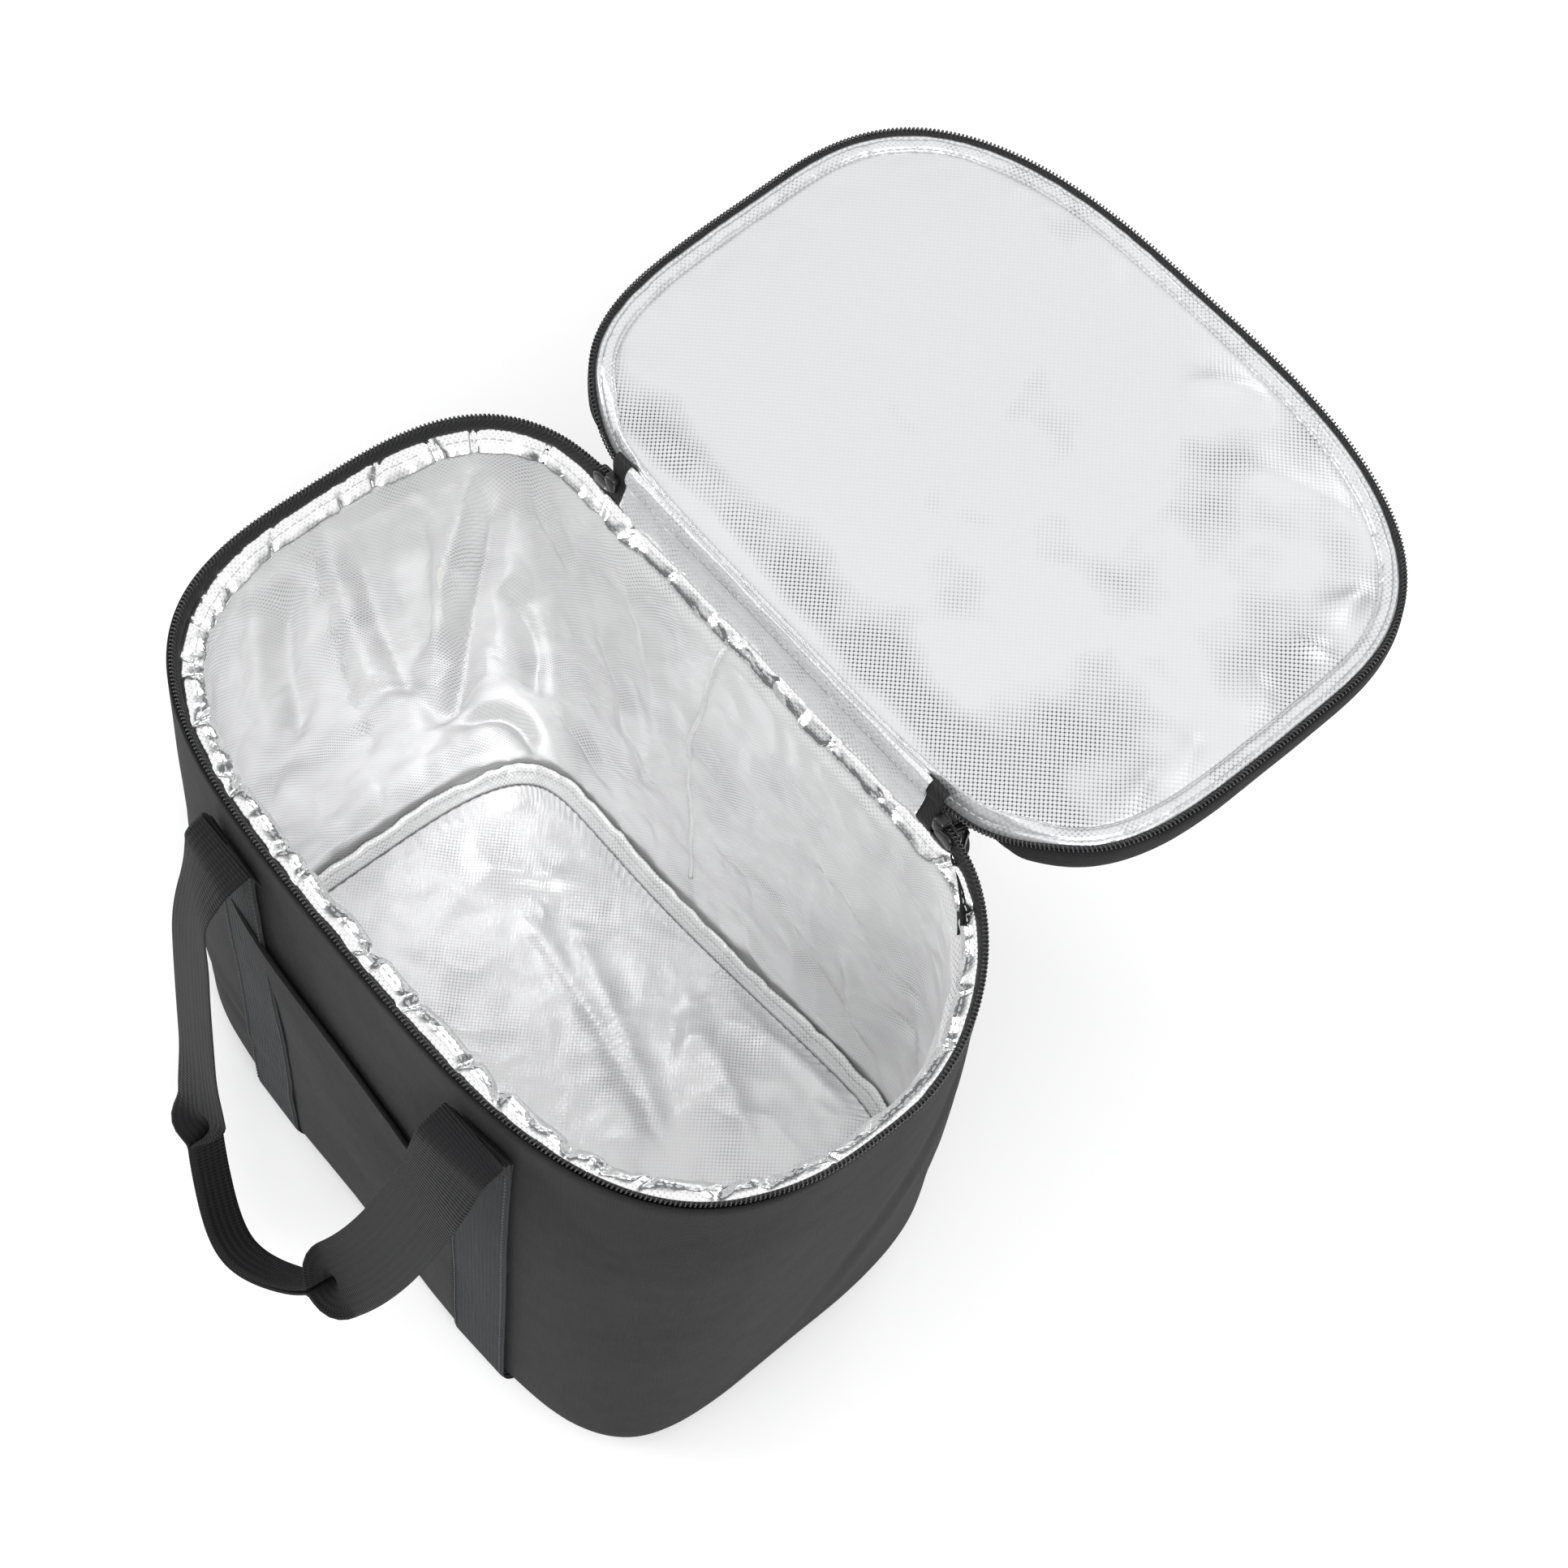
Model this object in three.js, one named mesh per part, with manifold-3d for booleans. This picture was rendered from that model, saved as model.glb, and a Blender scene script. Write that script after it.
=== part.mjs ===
// A soft insulated cooler bag, in millimetres, +Z up.
// The origin is the centre of the flat bottom. The mouth's hinge is at the back, +Y.
// The lid is drawn open, laid back over its hinge, with both carrying handles hanging down.
import * as THREE from 'three';
import { mergeVertices } from 'three/addons/utils/BufferGeometryUtils.js';
import Module from 'manifold-3d';

// Body
const bodyHalfLength = 189;
const bodyHalfWidth = 128;
const zipHeight = 330;
const baseSquareness = 4.9;
const baseBackSquareness = 3.2;
const baseEdgeRadius = 24;
const straightBack = 100;

// Mouth, as it differs from the bottom
const mouthEndFlare = 6;
const mouthFrontFlare = 2;
const mouthBackTuck = 4;
const mouthSquareness = 3.1;
const mouthBackSquareness = 2.1;

// Sheet and foam thicknesses
const outerCloth = 1.2;
const wallFoam = 8;
const floorFoam = 8;
const boardThickness = 2.5;
const foil = 0.8;
const clearance = 0.3;

// Hem and lining
const hemWidth = 13;
const hemHeight = 14;
const hemDrop = 10;
const floorFlange = 10;
const seamTapeWidth = 5;
const seamTapeX = -30;

// Zip
const coilHeight = 2.4;
const coilWidth = 2.8;
const coilSet = 0.6;
const zipMeshGap = 0.3;
const tapeThickness = 0.9;
const tapeWidth = 10;
const wallBelowZip = 3.5;
const zipPastHinge = 9;
const hingePastStraight = 6;
const hingeCloth = 1.6;
const hingeRise = 10;
const sliderLength = 12;
const sliderHeight = 9;
const sliderPlate = 1.3;
const sliderRise = 1.8;
const crownMetal = 1;
const crownFoot = 1.4;
const crownWidth = 3;
const pullLength = 32;
const pullWidth = 9;
const pullThickness = 1.4;
const pullWindow = 4.5;

// Lid
const lidHeight = 22;
const lidEdgeRadius = 7;
const lidCrown = 4;
const lidBandStart = 4;
const lidFoam = 11;
const borderWidth = 12;
const borderThickness = 3.4;
const lidOpenAngle = 175;

// Webbing and pocket
const webbingWidth = 38;
const webbing = 1.5;
const strapCentre = 85;
const strapTopBelowZip = 10;
const strapFold = 7;
const pocketHeight = 215;
const pocketCloth = 0.9;
const pocketTuck = 3;
const handleReach = 74;
const handleDrop = 199;
const gripLength = 104;
const gripFold = 14;

// Facets
const quarterSteps = 12;
const pocketTurns = 2;
const strapTurns = 3;
const cornerStep = 15;
const wallSteps = 5;
const handleSteps = 44;

// Least distance between two rows of points, and how far a cutting solid stands past what it cuts
const rowGap = 1;
const cutPast = 1;

// Sizes, levels and insets that follow from the sizes above
const mouthHalfLength = bodyHalfLength + mouthEndFlare;
const mouthFront = bodyHalfWidth + mouthFrontFlare;
const mouthBack = bodyHalfWidth - mouthBackTuck;
const hingeHalfLength = straightBack + hingePastStraight;
const zipEndX = hingeHalfLength + zipPastHinge;
const foamOuter = outerCloth + clearance;
const foamInner = foamOuter + wallFoam;
const liningOuter = foamInner + clearance;
const liningInner = liningOuter + foil;
const boardFloor = outerCloth + clearance;
const foamFloor = boardFloor + boardThickness + clearance;
const liningFloor = foamFloor + floorFoam + clearance;
const cavityFloor = liningFloor + foil;
const hemTop = zipHeight - hemDrop;
const hemFoot = hemTop - hemHeight;
const tapeInset = coilSet + (coilWidth - tapeThickness) / 2;
const coilGap = zipMeshGap / 2;
const tapeEdge = coilGap + coilHeight + clearance;
const strapTop = zipHeight - strapTopBelowZip;
const hingeAxis = { y: mouthBack + clearance + hingeCloth / 2, z: zipHeight + hingeRise };

const materials = {
  polyester: { color: 0x3c3c3e, roughness: 0.82, metalness: 0 },
  webbing: { color: 0x2a2a2b, roughness: 0.9, metalness: 0 },
  foil: { color: 0xdcdee0, roughness: 0.32, metalness: 0.75 },
  foam: { color: 0xf2f2ee, roughness: 0.95, metalness: 0 },
  board: { color: 0xb9bbb6, roughness: 0.8, metalness: 0 },
  zip: { color: 0x161617, roughness: 0.45, metalness: 0 },
  metal: { color: 0x1b1b1c, roughness: 0.4, metalness: 0.6 },
};

const wasm = await Module();
wasm.setup();

const bag = new THREE.Group();
const lid = new THREE.Group();

// Adds one named piece to a group
function addPiece(group, name, finish, geometry) {
  geometry.computeVertexNormals();
  const mesh = new THREE.Mesh(geometry, new THREE.MeshStandardMaterial(materials[finish]));
  mesh.name = name;
  group.add(mesh);
  return mesh;
}

// Outlines of the wall

// Size and shape of the wall's outline at one height. The back half has a straight middle
// for the hinge and rounder corners than the front half.
function wallSection(z) {
  const t = THREE.MathUtils.clamp(z / zipHeight, 0, 1);
  const between = (low, high) => THREE.MathUtils.lerp(low, high, t);
  return {
    length: between(bodyHalfLength, mouthHalfLength),
    front: between(bodyHalfWidth, mouthFront),
    back: between(bodyHalfWidth, mouthBack),
    square: between(baseSquareness, mouthSquareness),
    backSquare: between(baseBackSquareness, mouthBackSquareness),
  };
}

// How far the rounded bottom edge draws the wall in at one height
function edgeInset(z) {
  const drop = Math.max(baseEdgeRadius - z, 0);
  return baseEdgeRadius - Math.sqrt(baseEdgeRadius ** 2 - drop ** 2);
}

// A point of the outline at one height, drawn in by inset and shrunk about the middle
function outlinePoint(z, inset, angle, shrink = 1) {
  const section = wallSection(z);
  const cos = Math.cos(angle);
  const sin = Math.sin(angle);
  const atBack = sin > 0;
  const power = 2 / (atBack ? section.backSquare : section.square);
  const straight = atBack ? straightBack : 0;
  const depth = atBack ? section.back : section.front;
  const x = straight + (section.length - inset - straight) * Math.abs(cos) ** power;
  const y = (depth - inset) * Math.abs(sin) ** power;
  return new THREE.Vector3(Math.sign(cos) * x * shrink, Math.sign(sin) * y * shrink, z);
}

// Where the front (-1) or back (+1) face of the wall is, at x and z
function faceY(x, z, side) {
  const section = wallSection(z);
  const inset = edgeInset(z);
  const square = side > 0 ? section.backSquare : section.square;
  const straight = side > 0 ? straightBack : 0;
  const depth = side > 0 ? section.back : section.front;
  const along = Math.max(Math.abs(x) - straight, 0) / (section.length - inset - straight);
  return side * (depth - inset) * (1 - along ** square) ** (1 / square);
}

// The angle at which the mouth's outline passes x, beside its straight back
function mouthAngle(x) {
  const along = (x - straightBack) / (mouthHalfLength - straightBack);
  return Math.acos(along ** (mouthBackSquareness / 2));
}

// Solids

// Joins rows of points, each row a closed loop, into one closed body
function skin(rows, closedAlong) {
  const count = rows[0].length;
  const positions = rows.flat().flatMap((p) => [p.x, p.y, p.z]);
  const index = [];
  const last = closedAlong ? rows.length : rows.length - 1;
  for (let i = 0; i < last; i += 1) {
    const near = i * count;
    const far = ((i + 1) % rows.length) * count;
    for (let j = 0; j < count; j += 1) {
      const next = (j + 1) % count;
      index.push(near + j, near + next, far + j);
      index.push(near + next, far + next, far + j);
    }
  }
  if (!closedAlong) {
    const end = (rows.length - 1) * count;
    const faces = THREE.ShapeUtils.triangulateShape(flatten(rows[0]), []);
    const endFaces = THREE.ShapeUtils.triangulateShape(flatten(rows[rows.length - 1]), []);
    faces.forEach(([a, b, c]) => index.push(a, c, b));
    endFaces.forEach(([a, b, c]) => index.push(end + a, end + b, end + c));
  }
  const geometry = new THREE.BufferGeometry();
  geometry.setAttribute('position', new THREE.Float32BufferAttribute(positions, 3));
  geometry.setIndex(index);
  return facingOut(geometry);
}

// A loop's points in its own plane, so that its end can be triangulated
function flatten(loop) {
  const centre = loop.reduce((sum, p) => sum.add(p), new THREE.Vector3()).divideScalar(loop.length);
  const normal = new THREE.Vector3();
  loop.forEach((p, i) => {
    const a = p.clone().sub(centre);
    const b = loop[(i + 1) % loop.length].clone().sub(centre);
    normal.add(a.cross(b));
  });
  normal.normalize();
  const u = loop[0].clone().sub(centre).projectOnPlane(normal).normalize();
  const v = normal.clone().cross(u);
  return loop.map((p) => new THREE.Vector2(p.clone().sub(centre).dot(u), p.clone().sub(centre).dot(v)));
}

// Turns a closed body's faces outwards if they point in
function facingOut(geometry) {
  const p = geometry.getAttribute('position');
  const index = Array.from(geometry.index.array);
  const corner = (k) => new THREE.Vector3().fromBufferAttribute(p, index[k]);
  let volume = 0;
  for (let k = 0; k < index.length; k += 3) {
    volume += corner(k).dot(corner(k + 1).cross(corner(k + 2)));
  }
  if (volume < 0) {
    for (let k = 0; k < index.length; k += 3) {
      [index[k + 1], index[k + 2]] = [index[k + 2], index[k + 1]];
    }
    geometry.setIndex(index);
  }
  return geometry;
}

// The angles of the outline's points. The straight back's two ends share a right angle,
// so the second of them stands a hair past it.
function outlineAngles() {
  const quarter = Math.PI / 2;
  const pastBack = quarter + 1e-6;
  const rest = spaced(pastBack, 2 * Math.PI, 3 * quarterSteps).slice(0, -1);
  return [...spaced(0, quarter, quarterSteps), ...rest];
}

// A band that runs round the bag: its profile is a closed loop of [inset, z]
function roundBand(profile) {
  const rows = outlineAngles().map((angle) => (
    profile.map(([inset, z]) => outlinePoint(z, inset, angle))
  ));
  return skin(rows, true);
}

// The same band with the hinge left out: it starts and ends at the zip's ends
function zipBand(profile) {
  const start = mouthAngle(zipEndX);
  const isZip = (angle) => angle < start - 0.02 || angle > Math.PI - start + 0.02;
  const turned = outlineAngles().filter(isZip)
    .map((angle) => (angle > Math.PI / 2 ? angle - 2 * Math.PI : angle))
    .sort((a, b) => b - a);
  const angles = [start, ...turned, -Math.PI - start];
  return skin(angles.map((angle) => (
    profile.map(([inset, z]) => outlinePoint(z, inset, angle))
  )), false);
}

// A plate with the bag's outline: rings of [inset, z, shrink], closed at the middle of each side
function plate(rings) {
  const rows = rings.map(([inset, z, shrink = 1]) => (
    outlineAngles().map((angle) => outlinePoint(z, inset, angle, shrink))
  ));
  return skin(rows, false);
}

// A strip that lies on the front (-1) or back (+1) face, between two distances from the wall
function faceStrip(side, xLow, xHigh, levels, columns) {
  const rows = levels.map(([z, inner, outer]) => {
    const row = [];
    for (let k = 0; k <= columns; k += 1) {
      const x = THREE.MathUtils.lerp(xLow, xHigh, k / columns);
      row.push(new THREE.Vector3(x, faceY(x, z, side) + side * outer, z));
    }
    for (let k = columns; k >= 0; k -= 1) {
      const x = THREE.MathUtils.lerp(xLow, xHigh, k / columns);
      row.push(new THREE.Vector3(x, faceY(x, z, side) + side * inner, z));
    }
    return row;
  });
  return skin(rows, false);
}

// Evenly spaced values from low to high
function spaced(low, high, steps) {
  return Array.from({ length: steps + 1 }, (_, i) => THREE.MathUtils.lerp(low, high, i / steps));
}

// The heights at which every wall piece has a row of points, up to its own top
function wallLevels(top) {
  return [...spaced(baseEdgeRadius, zipHeight, wallSteps).filter((z) => z < top - rowGap), top];
}

// The heights of the wall's points on the rounded bottom edge, from some turns up
function edgeLevels(turns) {
  return spaced(turns, 1, turns - 1).map((k) => (
    baseEdgeRadius * (1 - Math.sin(THREE.MathUtils.degToRad(k * cornerStep)))
  ));
}

// A wall's profile: two faces that go down and then turn in, by degrees, round the bottom edge
function wallProfile(outer, inner, top, turn) {
  const side = (inset) => {
    const points = wallLevels(top).reverse().map((z) => [inset, z]);
    spaced(0, turn, turn / cornerStep).slice(1).map(THREE.MathUtils.degToRad).forEach((angle) => {
      const radius = baseEdgeRadius - inset;
      points.push([
        baseEdgeRadius - radius * Math.cos(angle),
        baseEdgeRadius - radius * Math.sin(angle),
      ]);
    });
    return points;
  };
  return [...side(outer), ...side(inner).reverse()];
}

// A rectangular profile between two insets and two heights
function bar(insetLow, insetHigh, low, high) {
  return [[insetLow, low], [insetHigh, low], [insetHigh, high], [insetLow, high]];
}

// A soft rolled profile: a rectangle with its corners rounded off
function roll(insetLow, insetHigh, low, high) {
  const shape = [];
  const middle = [(insetLow + insetHigh) / 2, (low + high) / 2];
  const halfWidth = (insetHigh - insetLow) / 2;
  const halfHeight = (high - low) / 2;
  const soften = 0.6;
  const sides = 8;
  for (let k = 0; k < sides; k += 1) {
    const angle = ((k + 0.5) / sides) * 2 * Math.PI;
    const cos = Math.cos(angle);
    const sin = Math.sin(angle);
    shape.push([
      middle[0] + halfWidth * Math.sign(cos) * Math.abs(cos) ** soften,
      middle[1] + halfHeight * Math.sign(sin) * Math.abs(sin) ** soften,
    ]);
  }
  return shape;
}

// Body

function buildBody() {
  const foamTurn = 2 * cornerStep;
  const liningTurn = 3 * cornerStep;
  const wallTop = zipHeight - wallBelowZip;
  const liningTop = hemFoot - clearance;
  const liningRadius = baseEdgeRadius - liningOuter;
  const liningCos = Math.cos(THREE.MathUtils.degToRad(liningTurn));
  const liningFoot = baseEdgeRadius - liningRadius * liningCos + clearance + foil;
  addPiece(bag, 'outer_wall', 'polyester',
    roundBand(wallProfile(0, outerCloth, wallTop, 90)));
  addPiece(bag, 'foam_wall', 'foam',
    roundBand(wallProfile(foamOuter, foamInner, liningTop, foamTurn)));
  addPiece(bag, 'lining_wall', 'foil',
    roundBand(wallProfile(liningOuter, liningInner, liningTop, liningTurn)));
  addPiece(bag, 'outer_base', 'polyester',
    plate([[baseEdgeRadius + clearance, 0], [baseEdgeRadius + clearance, outerCloth]]));
  const boardInset = baseEdgeRadius - clearance;
  addPiece(bag, 'base_board', 'board',
    plate([[boardInset, boardFloor], [boardInset, boardFloor + boardThickness]]));
  const foamInset = insideWall(foamFloor);
  addPiece(bag, 'foam_floor', 'foam',
    plate([[foamInset, foamFloor], [foamInset, foamFloor + floorFoam]]));
  addPiece(bag, 'lining_floor', 'foil',
    plate([[liningFoot, liningFloor], [liningFoot, cavityFloor]]));
  const flangeInset = liningFoot + clearance;
  addPiece(bag, 'floor_binding', 'foil',
    roundBand(bar(flangeInset, flangeInset + foil,
      cavityFloor + clearance, cavityFloor + clearance + floorFlange)));
}

// How far in a flat piece must stop to clear the rounded bottom edge at one height
function insideWall(z) {
  const radius = baseEdgeRadius - outerCloth;
  const drop = Math.max(baseEdgeRadius - z, 0);
  return baseEdgeRadius - Math.sqrt(radius ** 2 - drop ** 2) + 2 * clearance;
}

// The narrow tape over the lining's join, on the inside of the back wall
function buildSeamTape() {
  const low = baseEdgeRadius + floorFlange;
  const high = hemFoot - clearance;
  const inner = -(liningInner + clearance + foil);
  const outer = -(liningInner + clearance);
  const levels = spaced(low, high, wallSteps).map((z) => [z, inner, outer]);
  const left = seamTapeX - seamTapeWidth / 2;
  addPiece(bag, 'lining_seam_tape', 'foil',
    faceStrip(1, left, left + seamTapeWidth, levels, 1));
}

function buildMouth() {
  const hemInset = outerCloth + 2 * clearance + tapeThickness + clearance;
  addPiece(bag, 'rim_hem', 'foil',
    roundBand(roll(hemInset, hemInset + hemWidth, hemFoot, hemTop)));
  const tapeTop = zipHeight - tapeEdge;
  addPiece(bag, 'body_zip_tape', 'zip',
    zipBand(bar(tapeInset, tapeInset + tapeThickness, tapeTop - tapeWidth, tapeTop)));
  const coilTop = zipHeight - coilGap;
  addPiece(bag, 'body_zip_coil', 'zip',
    zipBand(bar(coilSet, coilSet + coilWidth, coilTop - coilHeight, coilTop)));
}

// The cloth strip that the lid folds back on, down to the tops of the rear straps, and the foil
// that faces it inside
function buildHinge() {
  const top = hingeAxis.z - clearance;
  const foot = strapTop + clearance;
  const strip = new THREE.BoxGeometry(2 * hingeHalfLength, hingeCloth, top - foot);
  strip.translate(0, hingeAxis.y, (top + foot) / 2);
  addPiece(bag, 'hinge_strip', 'polyester', strip);
  const facing = new THREE.BoxGeometry(2 * straightBack, foil, tapeWidth);
  facing.translate(0, mouthBack - tapeInset - foil / 2, zipHeight - tapeEdge - tapeWidth / 2);
  addPiece(bag, 'hinge_facing', 'foil', facing);
}

// Pocket and webbing

function buildPocket() {
  const halfWidth = strapCentre + webbingWidth / 2 - pocketTuck;
  const levels = [...edgeLevels(pocketTurns), ...wallLevels(pocketHeight)]
    .map((z) => [z, clearance, clearance + pocketCloth]);
  addPiece(bag, 'front_pocket', 'polyester', faceStrip(-1, -halfWidth, halfWidth, levels, 12));
}

// How far a strap stands off the wall: the front straps are sewn over the pocket
function strapGap(side) {
  return side < 0 ? pocketCloth + 2 * clearance : clearance;
}

// A strap sewn up the face, folded double at its top where the handle leaves it
function buildStrap(name, side, centre) {
  const foldFoot = strapTop - strapFold;
  const inner = strapGap(side);
  const outer = inner + webbing;
  const levels = [...edgeLevels(strapTurns), ...wallLevels(foldFoot - webbing)]
    .map((z) => [z, inner, outer]);
  levels.push([foldFoot, inner, outer + webbing]);
  levels.push([strapTop - webbing, inner, outer + webbing]);
  levels.push([strapTop, inner + webbing / 2, outer + webbing / 2]);
  const left = centre - webbingWidth / 2;
  addPiece(bag, name, 'webbing', faceStrip(side, left, left + webbingWidth, levels, 4));
}

// Where a handle turns: just outside the fold at the top of its straps, at their inner edges,
// where the face stands out most
function handlePivot(side) {
  const outward = strapGap(side) + 2 * webbing + clearance + webbing / 2;
  const innerEdge = strapCentre - webbingWidth / 2;
  return {
    y: faceY(innerEdge, strapTop, side) + side * outward,
    z: strapTop - strapFold / 2,
  };
}

// The hanging loop, from its right end over the grip to its left end.
// Each row is a share of the strap spacing, of the reach and of the drop.
function handleCurve(side) {
  const half = [
    [1, 0, 0],
    [1, 0.15, 0.11],
    [0.95, 0.28, 0.28],
    [0.85, 0.41, 0.49],
    [0.7, 0.57, 0.71],
    [0.49, 0.76, 0.9],
  ];
  const pivot = handlePivot(side);
  const place = ([across, out, down], mirror) => new THREE.Vector3(
    mirror * across * strapCentre,
    pivot.y + side * out * handleReach,
    pivot.z - down * handleDrop,
  );
  const right = half.map((share) => place(share, 1));
  const left = half.map((share) => place(share, -1)).reverse();
  return new THREE.CatmullRomCurve3([...right, place([0, 1, 1], 1), ...left]);
}

// Webbing swept along the loop: full width in the legs, folded in two and sewn at the grip
function buildHandle(name, side) {
  const curve = handleCurve(side);
  const length = curve.getLength();
  const flat = new THREE.Vector3(0, side * handleDrop, handleReach).normalize();
  const rows = [];
  for (let i = 0; i <= handleSteps; i += 1) {
    const u = i / handleSteps;
    const fromMiddle = Math.abs(u - 0.5) * length;
    const open = THREE.MathUtils.smoothstep(fromMiddle, gripLength / 2, gripLength / 2 + gripFold);
    const halfWidth = THREE.MathUtils.lerp(webbingWidth / 4, webbingWidth / 2, open);
    const halfThick = THREE.MathUtils.lerp(webbing, webbing / 2, open);
    const centre = curve.getPointAt(u);
    const tangent = curve.getTangentAt(u);
    const across = tangent.clone().cross(flat).normalize();
    const through = across.clone().cross(tangent).normalize();
    rows.push([[-1, -1], [1, -1], [1, 1], [-1, 1]].map(([w, t]) => centre.clone()
      .addScaledVector(across, w * halfWidth)
      .addScaledVector(through, t * halfThick)));
  }
  addPiece(bag, name, 'webbing', skin(rows, false));
}

// Zip sliders

// A manifold solid from a three.js geometry
function solid(geometry) {
  const bare = geometry.clone();
  bare.deleteAttribute('normal');
  bare.deleteAttribute('uv');
  const merged = mergeVertices(bare);
  return new wasm.Manifold(new wasm.Mesh({
    numProp: 3,
    vertProperties: new Float32Array(merged.getAttribute('position').array),
    triVerts: new Uint32Array(merged.index.array),
  }));
}

// A three.js geometry from a manifold solid
function geometryOf(body) {
  const mesh = body.getMesh();
  const geometry = new THREE.BufferGeometry();
  geometry.setAttribute('position', new THREE.BufferAttribute(new Float32Array(mesh.vertProperties), 3));
  geometry.setIndex(new THREE.BufferAttribute(new Uint32Array(mesh.triVerts), 1));
  return geometry;
}

// A box between two corners
function block(low, high) {
  const box = new THREE.BoxGeometry(high[0] - low[0], high[1] - low[1], high[2] - low[2]);
  box.translate((high[0] + low[0]) / 2, (high[1] + low[1]) / 2, (high[2] + low[2]) / 2);
  return box;
}

// A slider's plate: a shield shape, narrower at its nose, in the x-z plane
function sliderShield(yLow, yHigh, low, high) {
  const half = (high - low) / 2;
  const shape = new THREE.Shape();
  shape.moveTo(0, low + half * 0.5);
  shape.lineTo(sliderLength * 0.25, low);
  shape.lineTo(sliderLength, low);
  shape.lineTo(sliderLength, high);
  shape.lineTo(sliderLength * 0.25, high);
  shape.lineTo(0, high - half * 0.5);
  shape.closePath();
  const geometry = new THREE.ExtrudeGeometry(shape, { depth: yHigh - yLow, bevelEnabled: false });
  geometry.rotateX(Math.PI / 2);
  geometry.translate(0, yHigh, 0);
  return geometry;
}

// A slider and its pull, at the end of the zip on one side (+1 right, -1 left).
// In its own frame x runs away from the hinge, y runs out of the bag and z is up.
function buildSlider(name, pullName, hand) {
  const frame = new THREE.Group();
  const start = outlinePoint(zipHeight, 0, mouthAngle(zipEndX));
  const end = outlinePoint(zipHeight, 0, mouthAngle(zipEndX + sliderLength));
  frame.position.set(start.x, start.y, 0);
  frame.rotation.z = Math.atan2(end.y - start.y, end.x - start.x);
  const low = zipHeight + sliderRise - sliderHeight;
  const high = zipHeight + sliderRise;
  const innerFace = -(coilSet + coilWidth + clearance);
  const nose = sliderLength * 0.25;
  const shift = -nose - 3 * clearance;
  const outerFace = clearance + sliderPlate;
  const outerPlate = sliderShield(clearance, outerFace, low, high);
  const innerPlate = sliderShield(innerFace - sliderPlate, innerFace, low, zipHeight - clearance);
  const postFoot = zipHeight - wallBelowZip + clearance;
  const post = block([0, innerFace - sliderPlate / 2, postFoot],
    [nose, outerFace - sliderPlate / 2, zipHeight - clearance]);
  const eye = Math.SQRT2 * pullThickness + clearance;
  const crownHeight = eye + 2 * crownFoot;
  const crownLow = low + clearance;
  const crownX = (sliderLength - crownWidth) / 2;
  const crown = block([crownX, outerFace - sliderPlate / 2, crownLow],
    [crownX + crownWidth, outerFace + eye + crownMetal, crownLow + crownHeight]);
  const tunnel = block([crownX - cutPast, outerFace, crownLow + crownFoot],
    [crownX + crownWidth + cutPast, outerFace + eye, crownLow + crownFoot + eye]);
  const body = solid(outerPlate).add(solid(innerPlate)).add(solid(post))
    .add(solid(crown).subtract(solid(tunnel)));
  const geometry = geometryOf(body);
  geometry.translate(shift, 0, 0);
  const pull = buildPull();
  pull.translate(sliderLength / 2 + shift, outerFace + eye / 2, crownLow + crownHeight / 2);
  addPiece(frame, name, 'metal', geometry);
  addPiece(frame, pullName, 'metal', pull);
  if (hand < 0) {
    const mirror = new THREE.Group();
    mirror.scale.x = -1;
    mirror.add(frame);
    bag.add(mirror);
  } else {
    bag.add(frame);
  }
}

// A pull, hanging from the bar at its top, which turns inside the slider's crown
function buildPull() {
  const half = pullWidth / 2;
  const top = pullThickness / 2;
  const shape = new THREE.Shape();
  shape.moveTo(-half * 0.7, top);
  shape.lineTo(half * 0.7, top);
  shape.lineTo(half * 0.75, -pullWindow);
  shape.lineTo(half, -pullWindow * 2);
  shape.lineTo(half, -pullLength * 0.92);
  shape.lineTo(half * 0.6, -pullLength);
  shape.lineTo(-half * 0.6, -pullLength);
  shape.lineTo(-half, -pullLength * 0.92);
  shape.lineTo(-half, -pullWindow * 2);
  shape.lineTo(-half * 0.75, -pullWindow);
  shape.closePath();
  const reach = crownWidth / 2 + clearance;
  const hole = new THREE.Path();
  hole.moveTo(-reach, -top);
  hole.lineTo(-reach, -top - pullWindow);
  hole.lineTo(reach, -top - pullWindow);
  hole.lineTo(reach, -top);
  hole.closePath();
  shape.holes.push(hole);
  const geometry = new THREE.ExtrudeGeometry(shape, { depth: pullThickness, bevelEnabled: false });
  geometry.rotateX(Math.PI / 2);
  geometry.translate(0, pullThickness / 2, 0);
  return geometry;
}

// Lid, drawn shut over the mouth

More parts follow.
